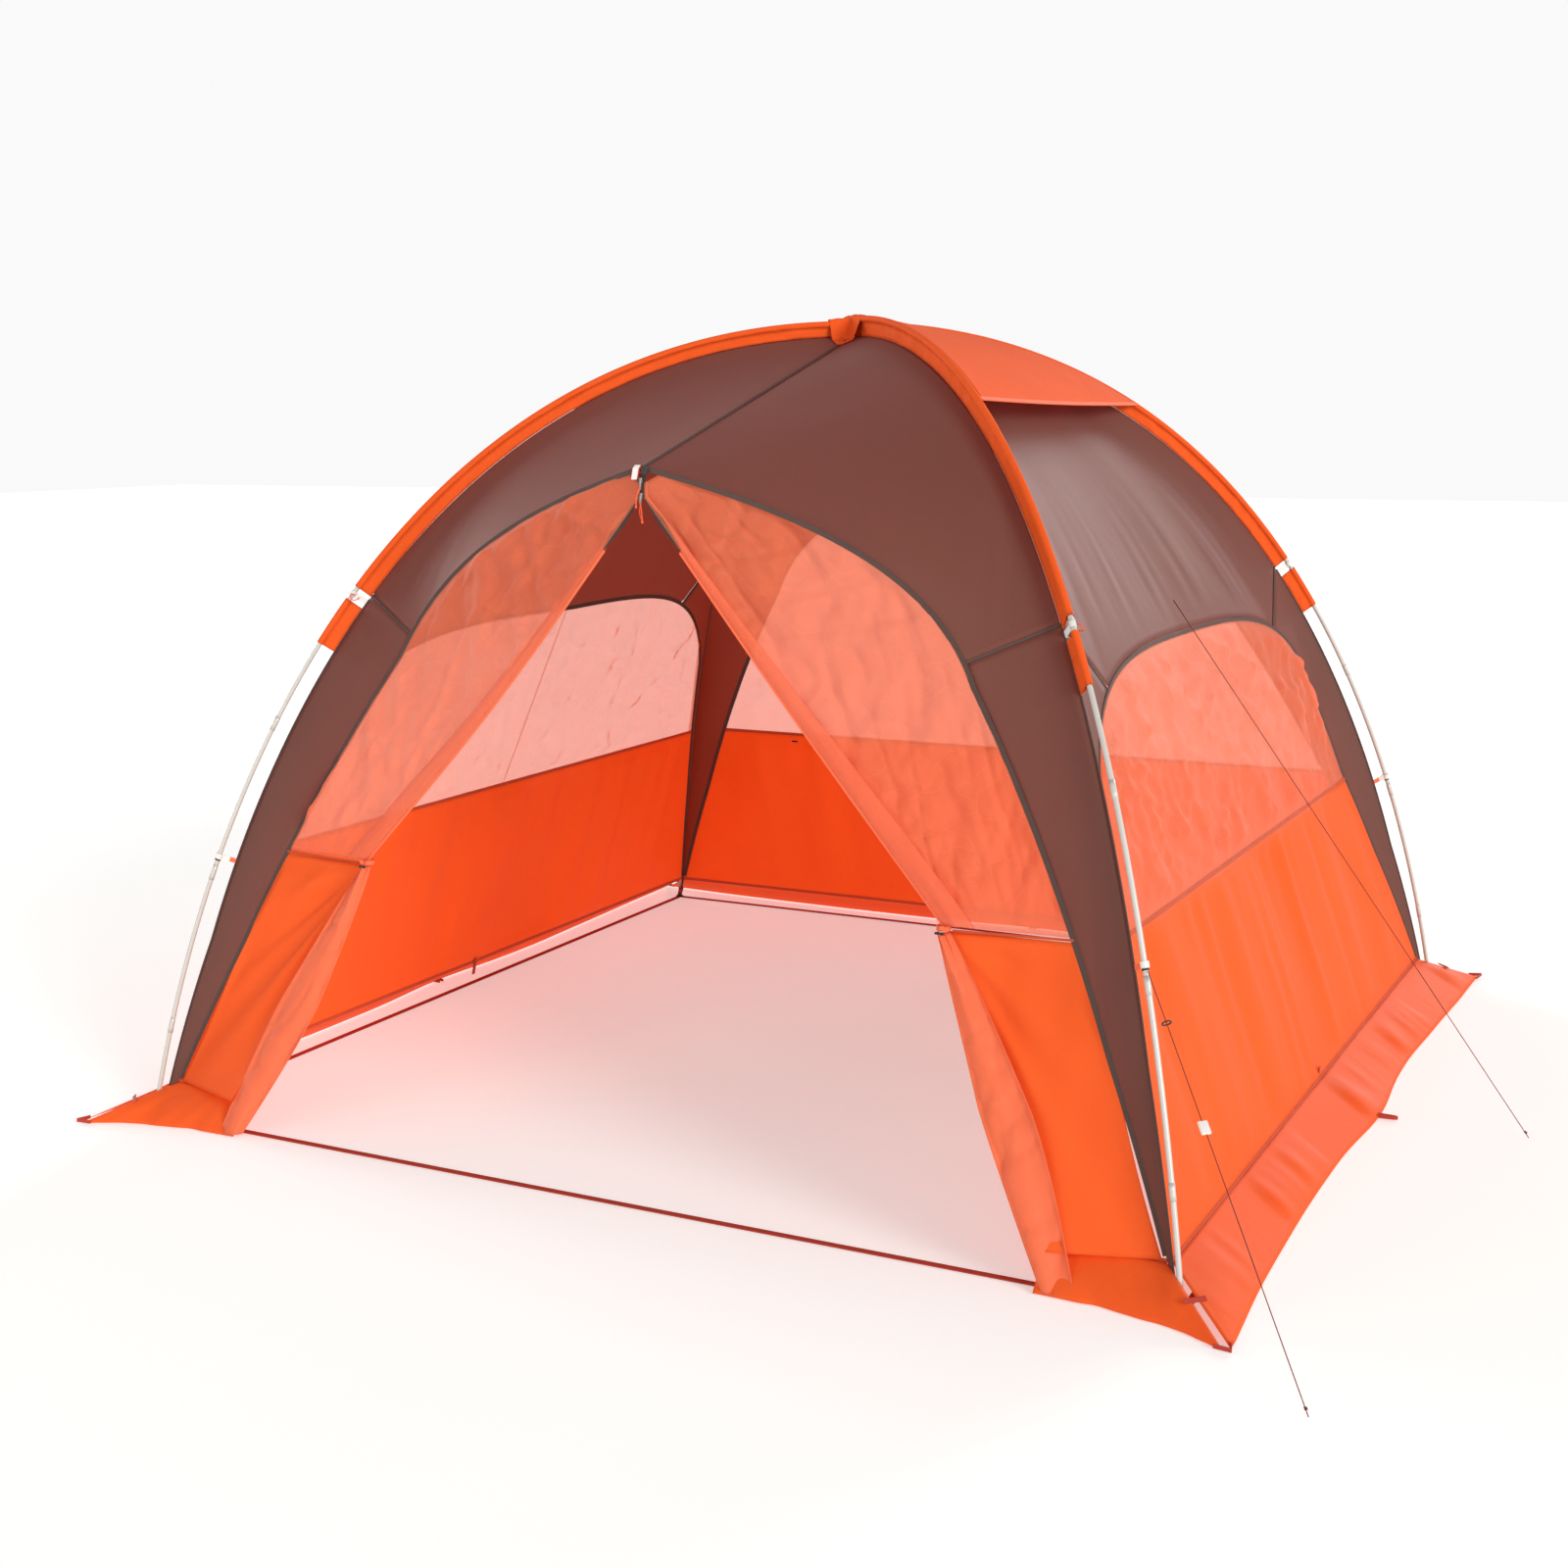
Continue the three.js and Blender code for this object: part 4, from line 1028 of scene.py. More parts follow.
def make_sleeve(cv, name, corner, start, top, bottom, count, seed):
    """One sleeve, from a start beside the crossing or a height down to another height."""
    s = sizes()
    line = cv.poles[corner]
    keep = (line[:, 1] <= top) & (line[:, 0] >= start) & (line[:, 1] >= bottom)
    points = line[keep]
    run = length_along(points)
    marks = np.linspace(0, run[-1], count)
    points = np.stack([np.interp(marks, run, points[:, k]) for k in range(2)], 1)
    tangent = np.gradient(points, axis=0)
    tangent /= np.linalg.norm(tangent, axis=1)[:, None]
    inward = np.stack([tangent[:, 1], -tangent[:, 0]], 1)
    guesses = points + inward * 0.05
    nearest = [np.linalg.norm(cv.seam_line - guess, axis=1).argmin() for guess in guesses]
    depth = np.linalg.norm(points - cv.seam_line[nearest], axis=1) - 0.001
    x, y = CORNERS[corner]
    sideways = np.array([-y, x, 0]) / ROOT2
    place = on_diagonal(corner, points)
    out = on_diagonal(corner, -inward)
    slack = 0.004 * (value_noise(marks / 0.07, marks * 0, seed) - 0.5)
    sections = [sleeve_section(s, d, w) for d, w in zip(depth, slack)]
    rings = []
    for k, section in enumerate(sections):
        a = np.array(section)
        way = np.full(len(a), marks[k] / 0.02) + a[:, 1] * 14
        lean = 0.009 * (value_noise(way, a[:, 1] * 20 + 9, seed + 3) - 0.5)
        weight = np.clip(-a[:, 1] / 0.02, 0, 1) * np.clip((a[:, 1] + depth[k]) / 0.012, 0, 1)
        across = np.outer(a[:, 0] + lean * weight, sideways)
        rings.append(place[k] + across + np.outer(a[:, 1], out[k]))
    size = len(sections[0])
    vertices = np.concatenate(rings)
    faces = quads_round(count, size)
    half = size // 2
    last = (count - 1) * size
    for i in range(half - 1):
        quad = (i, i + 1, size - 2 - i, size - 1 - i)
        faces.append(quad)
        faces.append(tuple(last + q for q in quad[::-1]))
    across = length_along(sections[0])
    uv = [(a, m) for m in marks for a in across]
    faces = facing_out(vertices, faces)
    piece = new_object(name, vertices, faces, mat("ripstop_orange"), uv)
    dress(piece, "root", (name.replace("_cloth", ""),))


def make_sleeves():
    cv = curves()
    for k, corner in enumerate(CORNERS):
        long, short = f"sleeve_{corner}_cloth", f"short_sleeve_{corner}_cloth"
        make_sleeve(cv, long, corner, 0.036, math.inf, 1.432, 150, 20 + k)
        make_sleeve(cv, short, corner, 0.0, 1.402, 1.285, 14, 30 + k)


# ---- Roof and legs --------------------------------------------------------
SEAM_GAP = 0.0012
UPPER_POLE = ("arch_pole_upper_tube",)


def trimmed(grid, gap=SEAM_GAP):
    """Pulls a panel's edges in a little, so that neighbours don't cut each other."""
    middle_u = grid.mean(axis=1, keepdims=True)
    middle_v = grid.mean(axis=0, keepdims=True)
    wide = np.linalg.norm(grid[:, -1] - grid[:, 0], axis=1)[:, None, None]
    tall = np.linalg.norm(grid[-1] - grid[0], axis=1)[None, :, None]
    grid = lerp(grid, middle_u, np.clip(2 * gap / np.maximum(wide, 0.02), 0, 0.5))
    return lerp(grid, middle_v, np.clip(2 * gap / np.maximum(tall, 0.02), 0, 0.5))


def corner_seam(cv, corner, bottom, count, start=0.003):
    line = cv.seam_line
    keep = (line[:, 0] >= start) & (line[:, 1] >= bottom)
    return along_line(on_diagonal(corner, line[keep]), count)


def make_door_roofs():
    cv, s = curves(), sizes()
    columns, rows = 60, 72
    for face, y in (("front", -1), ("back", 1)):
        for hand, side in (("left", -1), ("right", 1)):
            corner = f"{face}_{hand}"
            seam = corner_seam(cv, corner, s.shoulder, rows)
            t = np.linspace(0, 1, 400)
            arch = cv.arch(t)
            edge = along_line(on_face(face, arch[arch[:, 2] >= s.arch_shoulder], side), rows)
            top = np.array([0.0, seam[0][1], seam[0][2]])
            ridge = lerp(top, edge[0], np.linspace(0, 1, columns)[:, None])
            seam[0] = top
            hem = lerp(seam[-1], edge[-1], np.linspace(0, 1, columns)[:, None])
            grid = trimmed(filled(ridge, hem, seam, edge))
            seed = 40 + (y > 0) * 2 + (side > 0)

            def relief(x, y_, u, v, seed=seed):
                soft = 0.010 * folds(x, y_, 0.35, 0.9, 0.6, seed)
                pulls = 0.007 * folds(x, y_, 0.05, 0.35, 1.1, seed + 5)
                pulls = pulls * np.exp(-((1 - v) / 0.18) ** 2)
                return (soft + pulls) * near_edges(u, v, 0.16)

            name, brown = f"{face}_roof_{hand}", mat("polyester_brown")
            cloth(f"{name}_cloth", grid, brown, "stretched", relief, (name,), UPPER_POLE)


def window_hem(cv, s, side, count):
    """The side roof's lower edge: a shoulder seam, the window's top, and a seam again."""
    face = "right" if side > 0 else "left"
    t = np.linspace(0, 1, 500)
    top = cv.window(t)
    falling = (t > 0.3) & (top[:, 2] < s.window_shoulder)
    last = int(np.argmax(falling))
    half = on_face(face, top[:last])
    front = cv.seam(f"front_{face}", [s.shoulder])[0]
    back = cv.seam(f"back_{face}", [s.shoulder])[0]
    near = half * (1, -1, 1)
    return along_line(np.concatenate([[front], near[::-1], half[1:], [back]]), count)


def make_side_roofs():
    cv, s = curves(), sizes()
    columns, rows = 110, 80
    for hand, side in (("left", -1), ("right", 1)):
        front = corner_seam(cv, f"front_{hand}", s.shoulder, rows)
        back = corner_seam(cv, f"back_{hand}", s.shoulder, rows)
        top = lerp(front[0], back[0], np.linspace(0, 1, columns)[:, None])
        grid = trimmed(filled(top, window_hem(cv, s, side, columns), front, back, settle=0.09))

        def relief(x, y, u, v, seed=50 + side):
            soft = 0.012 * folds(x, y, 0.4, 0.9, 0.0, seed)
            fan = 0.006 * folds((u - 0.5) * 2.2, y, 0.06, 0.6, 0.0, seed + 5)
            fan = fan * np.exp(-((1 - v) / 0.22) ** 2)
            return (soft + fan) * near_edges(u, v, 0.12)

        name, brown = f"side_roof_{hand}", mat("polyester_brown")
        cloth(f"{name}_cloth", grid, brown, "stretched", relief, (name,), UPPER_POLE)


def make_leg_panels():
    cv, s = curves(), sizes()
    rows, flank = 90, 12
    share = np.linspace(0, 1, rows)
    toe = 0.03
    for k, (corner, (x, y)) in enumerate(CORNERS.items()):
        face = "front" if y < 0 else "back"
        side = "right" if x > 0 else "left"
        seam = cv.seam(corner, lerp(s.shoulder, toe, share))
        door = on_face(face, cv.door_edge(lerp(s.arch_shoulder, toe, share)), x)
        wall = on_face(side, cv.side_edge(lerp(s.window_shoulder, toe, share)), y)
        grid = np.concatenate([ruled(door, seam, flank), ruled(seam, wall, flank)[:, 1:]], 1)
        grid = trimmed(grid, 0.0008)

        def relief(x_, y_, u, v, seed=60 + k):
            long = 0.006 * folds(x_, y_, 0.05, 0.7, 0.08, seed) * np.clip((1 - v) * 1.6, 0, 1)
            return long * near_edges(u, v, 0.1) * np.clip(np.abs(u - 0.5) / 0.08, 0, 1)

        name, tip = f"leg_panel_{corner}", f"pole_tip_{corner}_moulded"
        brown = mat("polyester_brown")
        cloth(f"{name}_cloth", grid, brown, "stretched", relief, (name,), (tip,))


COVER_SAG = 0.006


def make_vent_covers():
    """The cover stretched between two sleeves, with a hem on its free edge."""
    cv, s = curves(), sizes()
    ease = s.pole_radius + 0.0032
    for hand, side in (("left", -1), ("right", 1)):
        edges = []
        for corner in (f"front_{hand}", f"back_{hand}"):
            line = cv.poles[corner]
            keep = (line[:, 0] >= 0.03) & (line[:, 0] <= 0.9)
            points = along_line(on_diagonal(corner, line[keep]), 60)
            y = CORNERS[corner][1]
            edges.append(points + np.array([side, -y, 0]) / ROOT2 * ease + (0, 0, 0.003))
        grid = ruled(edges[0], edges[1], 70)
        u, v = np.linspace(0, math.pi, 70)[None, :], np.linspace(0, 1, 60)[:, None]
        grid = grid - (COVER_SAG * np.sin(u) * v)[..., None] * np.array([0.55 * side, 0, 0.83])

        def relief(x, y, u, v, seed=70 + side):
            pulls = 0.004 * folds(x, y, 0.05, 0.5, 1.45, seed) * np.exp(-((1 - v) / 0.14) ** 2)
            return (pulls + 0.003 * folds(x, y, 0.2, 0.5, 0.5, seed + 2)) * near_edges(u, v, 0.1)

        name, rests_on = f"vent_cover_{hand}", ("sleeve_front_right_cloth",)
        ripstop = mat("ripstop_orange")
        cloth(f"{name}_cloth", grid, ripstop, "stretched", relief, (name,), rests_on)


# ---- Walls, windows and doors ---------------------------------------------
def make_walls():
    cv, s = curves(), sizes()
    columns, rows = 130, 46
    plans = [
        ("left", cv.side_flank, cv.window, s.window_spring),
        ("right", cv.side_flank, cv.window, s.window_spring),
        ("back", cv.door_flank, cv.arch, s.spring),
    ]
    for k, (face, flank, crown, spring) in enumerate(plans):
        z = np.linspace(s.wall_seam, spring, rows)
        right = on_face(face, flank(z))
        left = on_face(face, flank(z) * (-1, 1, 1))
        t = np.abs(np.linspace(-1, 1, columns))
        sign = np.sign(np.linspace(-1, 1, columns))
        top = on_face(face, crown(t) * np.stack([sign, np.ones(columns), np.ones(columns)], 1))
        bottom = lerp(left[0], right[0], np.linspace(0, 1, columns)[:, None])
        net = trimmed(filled(bottom, top, left, right))

        def crumpled(x, y, u, v, seed=80 + k):
            big = 0.010 * folds(x, y, 0.3, 0.5, 0.5, seed)
            sharp = big + 0.010 * creases(x, y, 0.10, seed) + 0.006 * creases(y, x, 0.05, seed + 7)
            return sharp * near_edges(u, v, 0.1)

        name = f"mesh_wall_{face}"
        cloth(f"{name}_net", net, mat("net_orange"), "hung", crumpled, (name,))

        z = np.linspace(s.base_seam, s.wall_seam, 44)
        solid_wall = ruled(on_face(face, flank(z) * (-1, 1, 1)), on_face(face, flank(z)), 190)

        def pleated(x, y, u, v, seed=90 + k):
            hanging = 0.045 * folds(x, y, 0.13, 1.5, 0.05, seed) * (0.3 + 0.7 * v)
            broad = 0.010 * folds(x, y, 0.4, 0.8, 0.3, seed + 4)
            return hanging * near_edges(u, v, 0.09) + broad * near_edges(u, v)

        name, wall = f"lower_wall_{face}", trimmed(solid_wall)
        cloth(f"{name}_cloth", wall, mat("polyester_orange"), "hung", pleated, (name,))


def skirt_grid(face, flank, side, inner, columns, rows=16):
    """A skirt from the base seam to the ground. Its hem is pulled out at the corners
    and by the loop at mid side, and falls more steeply between them."""
    s = sizes()
    seam = flank(s.base_seam)
    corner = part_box("skirt_right")[1][1] + 0.003
    tip_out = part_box("skirt_right")[1][0] - 0.001
    foot_line = TAPE_LINE
    reach = seam[0] - 0.003
    u = np.linspace(0, 1, columns)
    across = np.abs(2 * u - 1) if inner is None else u
    start = -corner if inner is None else inner
    top_start = -reach if inner is None else inner
    ease = 0.094 if inner is None else 0.045
    pulled = 0.034 * np.exp(-((across / 0.2) ** 2)) if inner is None else 0.0
    wander = 0.012 * (value_noise(u * 9, u * 0 + 3, 7 + columns) - 0.5)
    hem_out = foot_line + ease + pulled + wander + (tip_out - foot_line - ease) * across**2.2
    hem_out = np.minimum(hem_out, tip_out)
    ones = np.ones(columns)
    height = (s.base_seam - 0.001) * ones
    upper = np.stack([side * lerp(top_start, reach, u), seam[1] * ones, height], 1)
    hem = np.stack([side * lerp(start, corner, u), hem_out, 0.0016 * ones], 1)
    return ruled(on_face(face, upper), on_face(face, hem), rows).transpose(1, 0, 2)


def make_skirts():
    cv = curves()
    plans = [(face, flank, 1, None, 200) for face, flank in
             (("left", cv.side_flank), ("right", cv.side_flank), ("back", cv.door_flank))]
    plans += [("front", cv.door_flank, side, ROLL_FOOT[0] - 0.02, 60) for side in (-1, 1)]
    for k, (face, flank, side, inner, columns) in enumerate(plans):
        grid = skirt_grid(face, flank, side, inner, columns)
        hand = "right" if side > 0 else "left"
        name = f"skirt_{face}" if inner is None else f"skirt_front_{hand}"
        flip = -1 if normals_of(grid)[..., 2].mean() < 0 else 1

        def ruffled(x, y, u, v, seed=100 + k, flip=flip):
            wave = np.maximum(folds(x, y, 0.1, 0.6, 0.15, seed) + 0.15, 0)
            return flip * 0.02 * wave * np.sin(math.pi * v**1.2) * near_edges(u, v, 0.03)

        orange = mat("polyester_orange")
        cloth(f"{name}_cloth", grid, orange, "laid", ruffled, (name,), ("floor",))


DOOR_TIE = np.array([0.82, 1.27, 0.74])
ROLL_FOOT = np.array([1.15, 1.492, 0.0])
ZIP_CLOSED = 0.072


def door_lines(cv, s, side, count):
    """A door half's free edge, and its edge along the arch and leg."""
    peak = on_face("front", np.array([0.002, s.peak_out, s.peak_height]), side)
    parting = peak + (0, -0.003, -ZIP_CLOSED)
    tie = on_face("front", DOOR_TIE, side)
    t = np.linspace(0, 1, 60)[1:, None]
    sag = np.array([-0.012 * side, -0.012, 0.036])
    hanging = lerp(parting, tie, t) - np.sin(math.pi * t) ** 1.2 * sag
    free = along_line(np.concatenate([[peak, parting], hanging]), count)
    z = np.linspace(s.peak_height - 0.001, s.wall_seam + 0.01, 300)
    edge = along_line(on_face("front", cv.door_edge(z), side), count)
    return free, edge


def make_doors():
    cv, s = curves(), sizes()
    for hand, side in (("left", -1), ("right", 1)):
        free, edge = door_lines(cv, s, side, 110)
        grid = trimmed(ruled(free[3:], edge[3:], 60))

        def slack(x, y, u, v, seed=110 + side):
            drape = 0.02 * folds(x, y, 0.14, 0.9, -0.5 * side, seed) * v
            gather = 0.012 * folds(u * 0.6, v, 0.07, 1.2, 0.15 * side, seed + 3)
            gather = gather * np.clip((v - 0.55) / 0.45, 0, 1)
            sharp = 0.010 * creases(x, y, 0.11, seed)
            fine = 0.006 * creases(y, x, 0.05, seed + 7)
            return (drape + gather + sharp + fine) * near_edges(u, v, 0.1)

        name = f"door_mesh_{hand}"
        cloth(f"{name}_net", grid, mat("net_orange"), "hung", slack, (name,))
        make_net_fold(hand, side, grid)

        z = np.linspace(s.wall_seam + 0.002, s.base_seam, 50)
        gap = 0.014 * np.sin(math.pi * np.clip(1 - z / 0.42, 0, 1)) ** 0.8
        outer = on_face("front", cv.door_flank(z) - np.stack([gap, z * 0, z * 0], 1), side)
        foot = on_face("front", np.array([ROLL_FOOT[0], ROLL_FOOT[1] - 0.016, s.base_seam]), side)
        tie = on_face("front", DOOR_TIE - (0, 0.014, 0), side)
        inner = lerp(tie, foot, np.linspace(0, 1, 50)[:, None])
        inner[:, 2] = z

        def gathered(x, y, u, v, seed=120 + side):
            way = np.arctan2(v + 0.02, u + 0.02)
            rays = 0.045 * folds(way * 0.5, v * 0.2, 0.13, 0.5, 0, seed)
            rays = rays * np.clip(u + v, 0, 0.5) * np.exp(-((v / 0.9) ** 4))
            long = 0.018 * folds(x, y, 0.12, 0.8, 0.3 * side, seed + 9)
            return (rays + long) * near_edges(u, v, 0.1)

        name, panel = f"door_panel_{hand}", trimmed(ruled(inner, outer, 46))
        cloth(f"{name}_cloth", panel, mat("polyester_orange"), "gathered", gathered, (name,))
        make_roll(hand, side)


def make_net_fold(hand, side, grid):
    """The net's free edge, folded back over itself on the way down to the tie."""
    rows = len(grid)
    share = np.linspace(0, 1, rows)
    width = 0.012 + 0.062 * share**1.2
    normal = normals_of(grid)[:, 0]
    front = normal * np.sign((normal * (0, -1, 0)).sum(axis=1))[:, None]
    inward = grid[:, 6] - grid[:, 0]
    inward /= np.linalg.norm(inward, axis=1)[:, None]
    steps = np.linspace(0, 1, 12)
    lift = 0.010 * np.sin(math.pi * steps) + 0.003
    strip = (
        grid[:, None, 0]
        + inward[:, None] * (width[:, None] * steps)[..., None]
        + front[:, None] * (lift * (0.4 + share[:, None]))[..., None]
    )

    def curl(x, y, u, v, seed=140 + side):
        return 0.008 * folds(u * 0.08, y, 0.02, 0.25, 0.0, seed) * v * np.sin(math.pi * u)

    cloth(f"door_mesh_{hand}_fold", strip, mat("net_orange"), "folded", curl)


def make_roll(hand, side):
    """The loose lower half of the door, gathered at the tie and hanging in folds."""
    tie = on_face("front", DOOR_TIE + (0, 0.012, -0.012), side)
    ground = on_face("front", ROLL_FOOT + (0.0, 0.0, 0.008), side)
    count, across = 80, 64
    share = np.linspace(0, 1, count)
    centre = lerp(tie, ground, share[:, None])
    centre[:, 0] += 0.022 * np.sin(math.pi * share) + 0.03 * max(side, 0) * share
    centre[:, 1] -= 0.020 * np.sin(math.pi * share)
    half = 0.013 + 0.052 * np.clip(share / 0.5, 0, 1) ** 0.75
    half = half - 0.026 * np.clip((share - 0.55) / 0.45, 0, 1) ** 1.5
    depth = 0.010 - 0.003 * np.sin(math.pi * share)
    w = np.linspace(-1, 1, across)
    turn = 0.95 * math.pi * w[None] + 0.5 * share[:, None] + 0.4 * side
    wave = np.cos(turn) + 0.6 * np.sin(3.1 * turn + 1) * np.exp(-share[:, None] / 0.16)
    strip = np.zeros((count, across, 3))
    strip[..., 0] = centre[:, None, 0] + half[:, None] * (w[None] + 0.05 * np.sin(2 * turn))
    strip[..., 1] = centre[:, None, 1] - depth[:, None] * wave
    hem = 0.03 * (1 - np.abs(w[None])) * share[:, None] ** 8
    strip[..., 2] = centre[:, None, 2] - np.minimum(hem, centre[:, None, 2] - 0.006)

    def crumple(x, y, u, v, seed=150 + side):
        return 0.004 * creases(x, y, 0.07, seed) * near_edges(u, v, 0.1)

    name, folded = f"door_roll_{hand}", mat("polyester_folded")
    cloth(f"{name}_cloth", strip, folded, "gathered", crumple, (name,), ("floor",))


# ---- Tape, bindings and loops ---------------------------------------------
def make_ground_tape():
    """The square of webbing on the ground that ties the four feet together."""
    half, height = TAPE_LINE, 0.0013
    path = []
    corners = [(-half, -half), (half, -half), (half, half), (-half, half), (-half, -half)]
    for a, b in zip(corners, corners[1:]):
        path += [lerp((*a, height), (*b, height), t) for t in np.linspace(0, 1, 40, endpoint=False)]
    vertices = []
    for p in path:
        out = np.sign(p[:2]) * (np.abs(p[:2]) > half - 1e-6)
        for d, z in ((-0.01, -0.0011), (0.01, -0.0011), (0.01, 0.0011), (-0.01, 0.0011)):
            vertices.append((p[0] + out[0] * d, p[1] + out[1] * d, p[2] + z))
    vertices = np.array(vertices)
    faces = facing_out(vertices, [(a, d, c, b) for a, b, c, d in quads_round(len(path), 4, True)])
    uv = vertices[:, :2]
    piece = new_object("ground_tape", vertices, faces, mat("tape_red"), uv, smooth=False)
    dress(piece, "root", ("perimeter_webbing",))


def make_bindings():
    """Folded tape along the door arches and window tops."""
    cv, s = curves(), sizes()
    z_low = 0.10
    for face in ("front", "back"):
        for hand, side in (("left", -1), ("right", 1)):
            t = np.linspace(0, 1, 200)
            leg = cv.door_flank(np.linspace(s.spring, z_low, 120))
            line = along_line(on_face(face, np.concatenate([cv.arch(t), leg[1:]]), side), 150)
            inward = np.gradient(line, axis=0)
            out = on_face(face, np.array([0.0, 1.0, 0.2]), side)
            across = np.cross(inward, out)
            tape(f"binding_{face}_{hand}", line, across, s.binding, 0.0034, mat("tape_brown"))
    for hand, side in (("left", -1), ("right", 1)):
        face = hand
        t = np.linspace(0, 1, 200)
        leg = cv.side_flank(np.linspace(s.window_spring, z_low, 90))
        half = on_face(face, np.concatenate([cv.window(t), leg[1:]]))
        line = along_line(np.concatenate([(half * (1, -1, 1))[::-1], half[1:]]), 260)
        out = on_face(face, np.array([0.0, 1.0, 0.1]))
        across = np.cross(np.gradient(line, axis=0), out)
        tape(f"binding_{face}", line, across, s.binding, 0.0034, mat("tape_brown"))


SEAM_TAPE = 0.010  # width of the tape over a seam
TAPE_PILE = 0.0034  # thickness of a tape with the cloth between its two faces


def strap(name, points, across, width, material, count=20):
    """A short flat strap through a few points."""
    return tape(name, along_line(points, count), across, width, 0.0016, material)


def bent(points, count):
    """A smooth line through a few points."""
    points = np.asarray(points, float)
    padded = np.concatenate([[2 * points[0] - points[1]], points, [2 * points[-1] - points[-2]]])
    out = []
    for k in range(len(points) - 1):
        p = padded[k : k + 4]
        for t in np.linspace(0, 1, count, endpoint=False):
            a = 2 * p[1] + (p[2] - p[0]) * t + (2 * p[0] - 5 * p[1] + 4 * p[2] - p[3]) * t * t
            out.append((a + (3 * p[1] - p[0] - 3 * p[2] + p[3]) * t**3) / 2)
    return np.array([*out, points[-1]])


def make_seams():
    """Tape over the seams between panels."""
    cv, s = curves(), sizes()
    for face, flank in (("left", cv.side_flank), ("right", cv.side_flank), ("back", cv.door_flank)):
        for name, z in (("wall", s.wall_seam), ("base", s.base_seam)):
            end = flank(z)
            line = along_line(on_face(face, np.array([end * (-1, 1, 1), end])), 60)
            up = on_face(face, np.array([0.0, flank(z + 0.05)[1] - end[1], 0.05]))
            tape(f"{name}_seam_{face}", line, up, SEAM_TAPE, TAPE_PILE, mat("tape_seam"))
    for hand, side in (("left", -1), ("right", 1)):
        edge = cv.door_flank(s.base_seam)
        line = np.array([(ROLL_FOOT[0] + 0.03, edge[1], s.base_seam), edge])
        line = along_line(on_face("front", line, side), 20)
        tape(f"base_seam_front_{hand}", line, (0, 0.25, 1), SEAM_TAPE, TAPE_PILE, mat("tape_seam"))
        edge = cv.door_flank(s.wall_seam + 0.006)
        line = np.array([DOOR_TIE + (0.02, -0.004, -0.01), edge])
        line = along_line(on_face("front", line, side), 20)
        tape(f"wall_seam_front_{hand}", line, (0, 0.25, 1), 0.006, 0.004, mat("tape_seam"))
    for corner, (x, y) in CORNERS.items():
        face, flat = ("front" if y < 0 else "back"), ("right" if x > 0 else "left")
        seam = cv.seam(corner, [s.shoulder])[0]
        door = on_face(face, cv.door_edge(s.arch_shoulder), x)
        wall = on_face(flat, cv.side_edge(s.window_shoulder), y)
        for part, ends, up in (
            ("door", [door, seam], (0, 0.3 * -y, 1)),
            ("side", [seam, wall], (0.3 * -x, 0, 1)),
        ):
            line, name = along_line(ends, 30), f"shoulder_seam_{part}_{corner}"
            tape(name, line, up, 0.007, 0.0036, mat("tape_brown"))
        line = along_line(cv.seam(corner, np.linspace(1.40, 0.05, 90)), 90)
        lofted(f"corner_piping_{corner}", line, round_ring(0.0024, 8), mat("tape_brown"))
    for face, y in (("front", -1), ("back", 1)):
        start = corner_seam(cv, f"{face}_right", s.shoulder, 4)[0]
        ends = [(0, start[1], start[2] + 0.005), (0, y * s.peak_out, s.peak_height + 0.001)]
        line = along_line(ends, 50)
        tape(f"ridge_seam_{face}", line, (1, 0, 0), 0.005, TAPE_PILE, mat("tape_brown"))
    for hand, side in (("left", -1), ("right", 1)):
        hem = []
        for corner in (f"front_{hand}", f"back_{hand}"):
            line = cv.poles[corner]
            end = on_diagonal(corner, line[np.abs(line[:, 0] - 0.9).argmin()])
            inward = np.array([side, -CORNERS[corner][1], 0]) / ROOT2
            hem.append(end + inward * 0.0097 + (0, 0, 0.003))
        line = along_line(hem, 50)
        sag = -COVER_SAG * np.sin(np.linspace(0, math.pi, 50))
        line = line + np.outer(sag, (0.55 * side, 0, 0.83))
        tape(f"vent_hem_{hand}", line, (-0.83 * side, 0, 0.55), 0.014, 0.0032, mat("tape_orange"))


def make_crest_patch():
    """The square of cloth that the four sleeves run out from at the crossing."""
    cv = curves()
    half, count, slope = 0.078, 61, 2.4
    u = np.linspace(-1, 1, count) * half
    r1, r2 = np.meshgrid(u, u)
    upper = np.interp(np.abs(r1), cv.poles["front_right"][:, 0], cv.poles["front_right"][:, 1])
    step = 2 * sizes().pole_radius
    from_upper = slope * np.maximum(np.abs(r2) - 0.004, 0)
    from_lower = step + slope * np.maximum(np.abs(r1) - 0.004, 0)
    drop = -0.004 * np.log(np.exp(-from_upper / 0.004) + np.exp(-from_lower / 0.004))
    height = upper + 0.0105 - np.maximum(drop - 0.002, 0)
    grid = np.stack([(r1 + r2) / ROOT2, (-r1 + r2) / ROOT2, height], -1)
    under = [o for o in bpy.data.objects if "_roof_" in o.name and o.name.endswith("_cloth")]
    for p in grid.reshape(-1, 3):
        beside_ridge = math.copysign(max(abs(p[0]), 0.004), p[0])
        for roof in under:
            hit, place, _, _ = roof.ray_cast(Vector((beside_ridge, p[1], 3.0)), Vector((0, 0, -1)))
            if hit:
                p[2] = max(p[2], place.z + 0.004)

    def crumple(x, y, u_, v, seed=160):
        return 0.0016 * creases(x, y, 0.02, seed) * near_edges(u_, v, 0.1)

    cloth("crest_patch", grid, mat("ripstop_orange"), "stretched", crumple, (), UPPER_POLE)


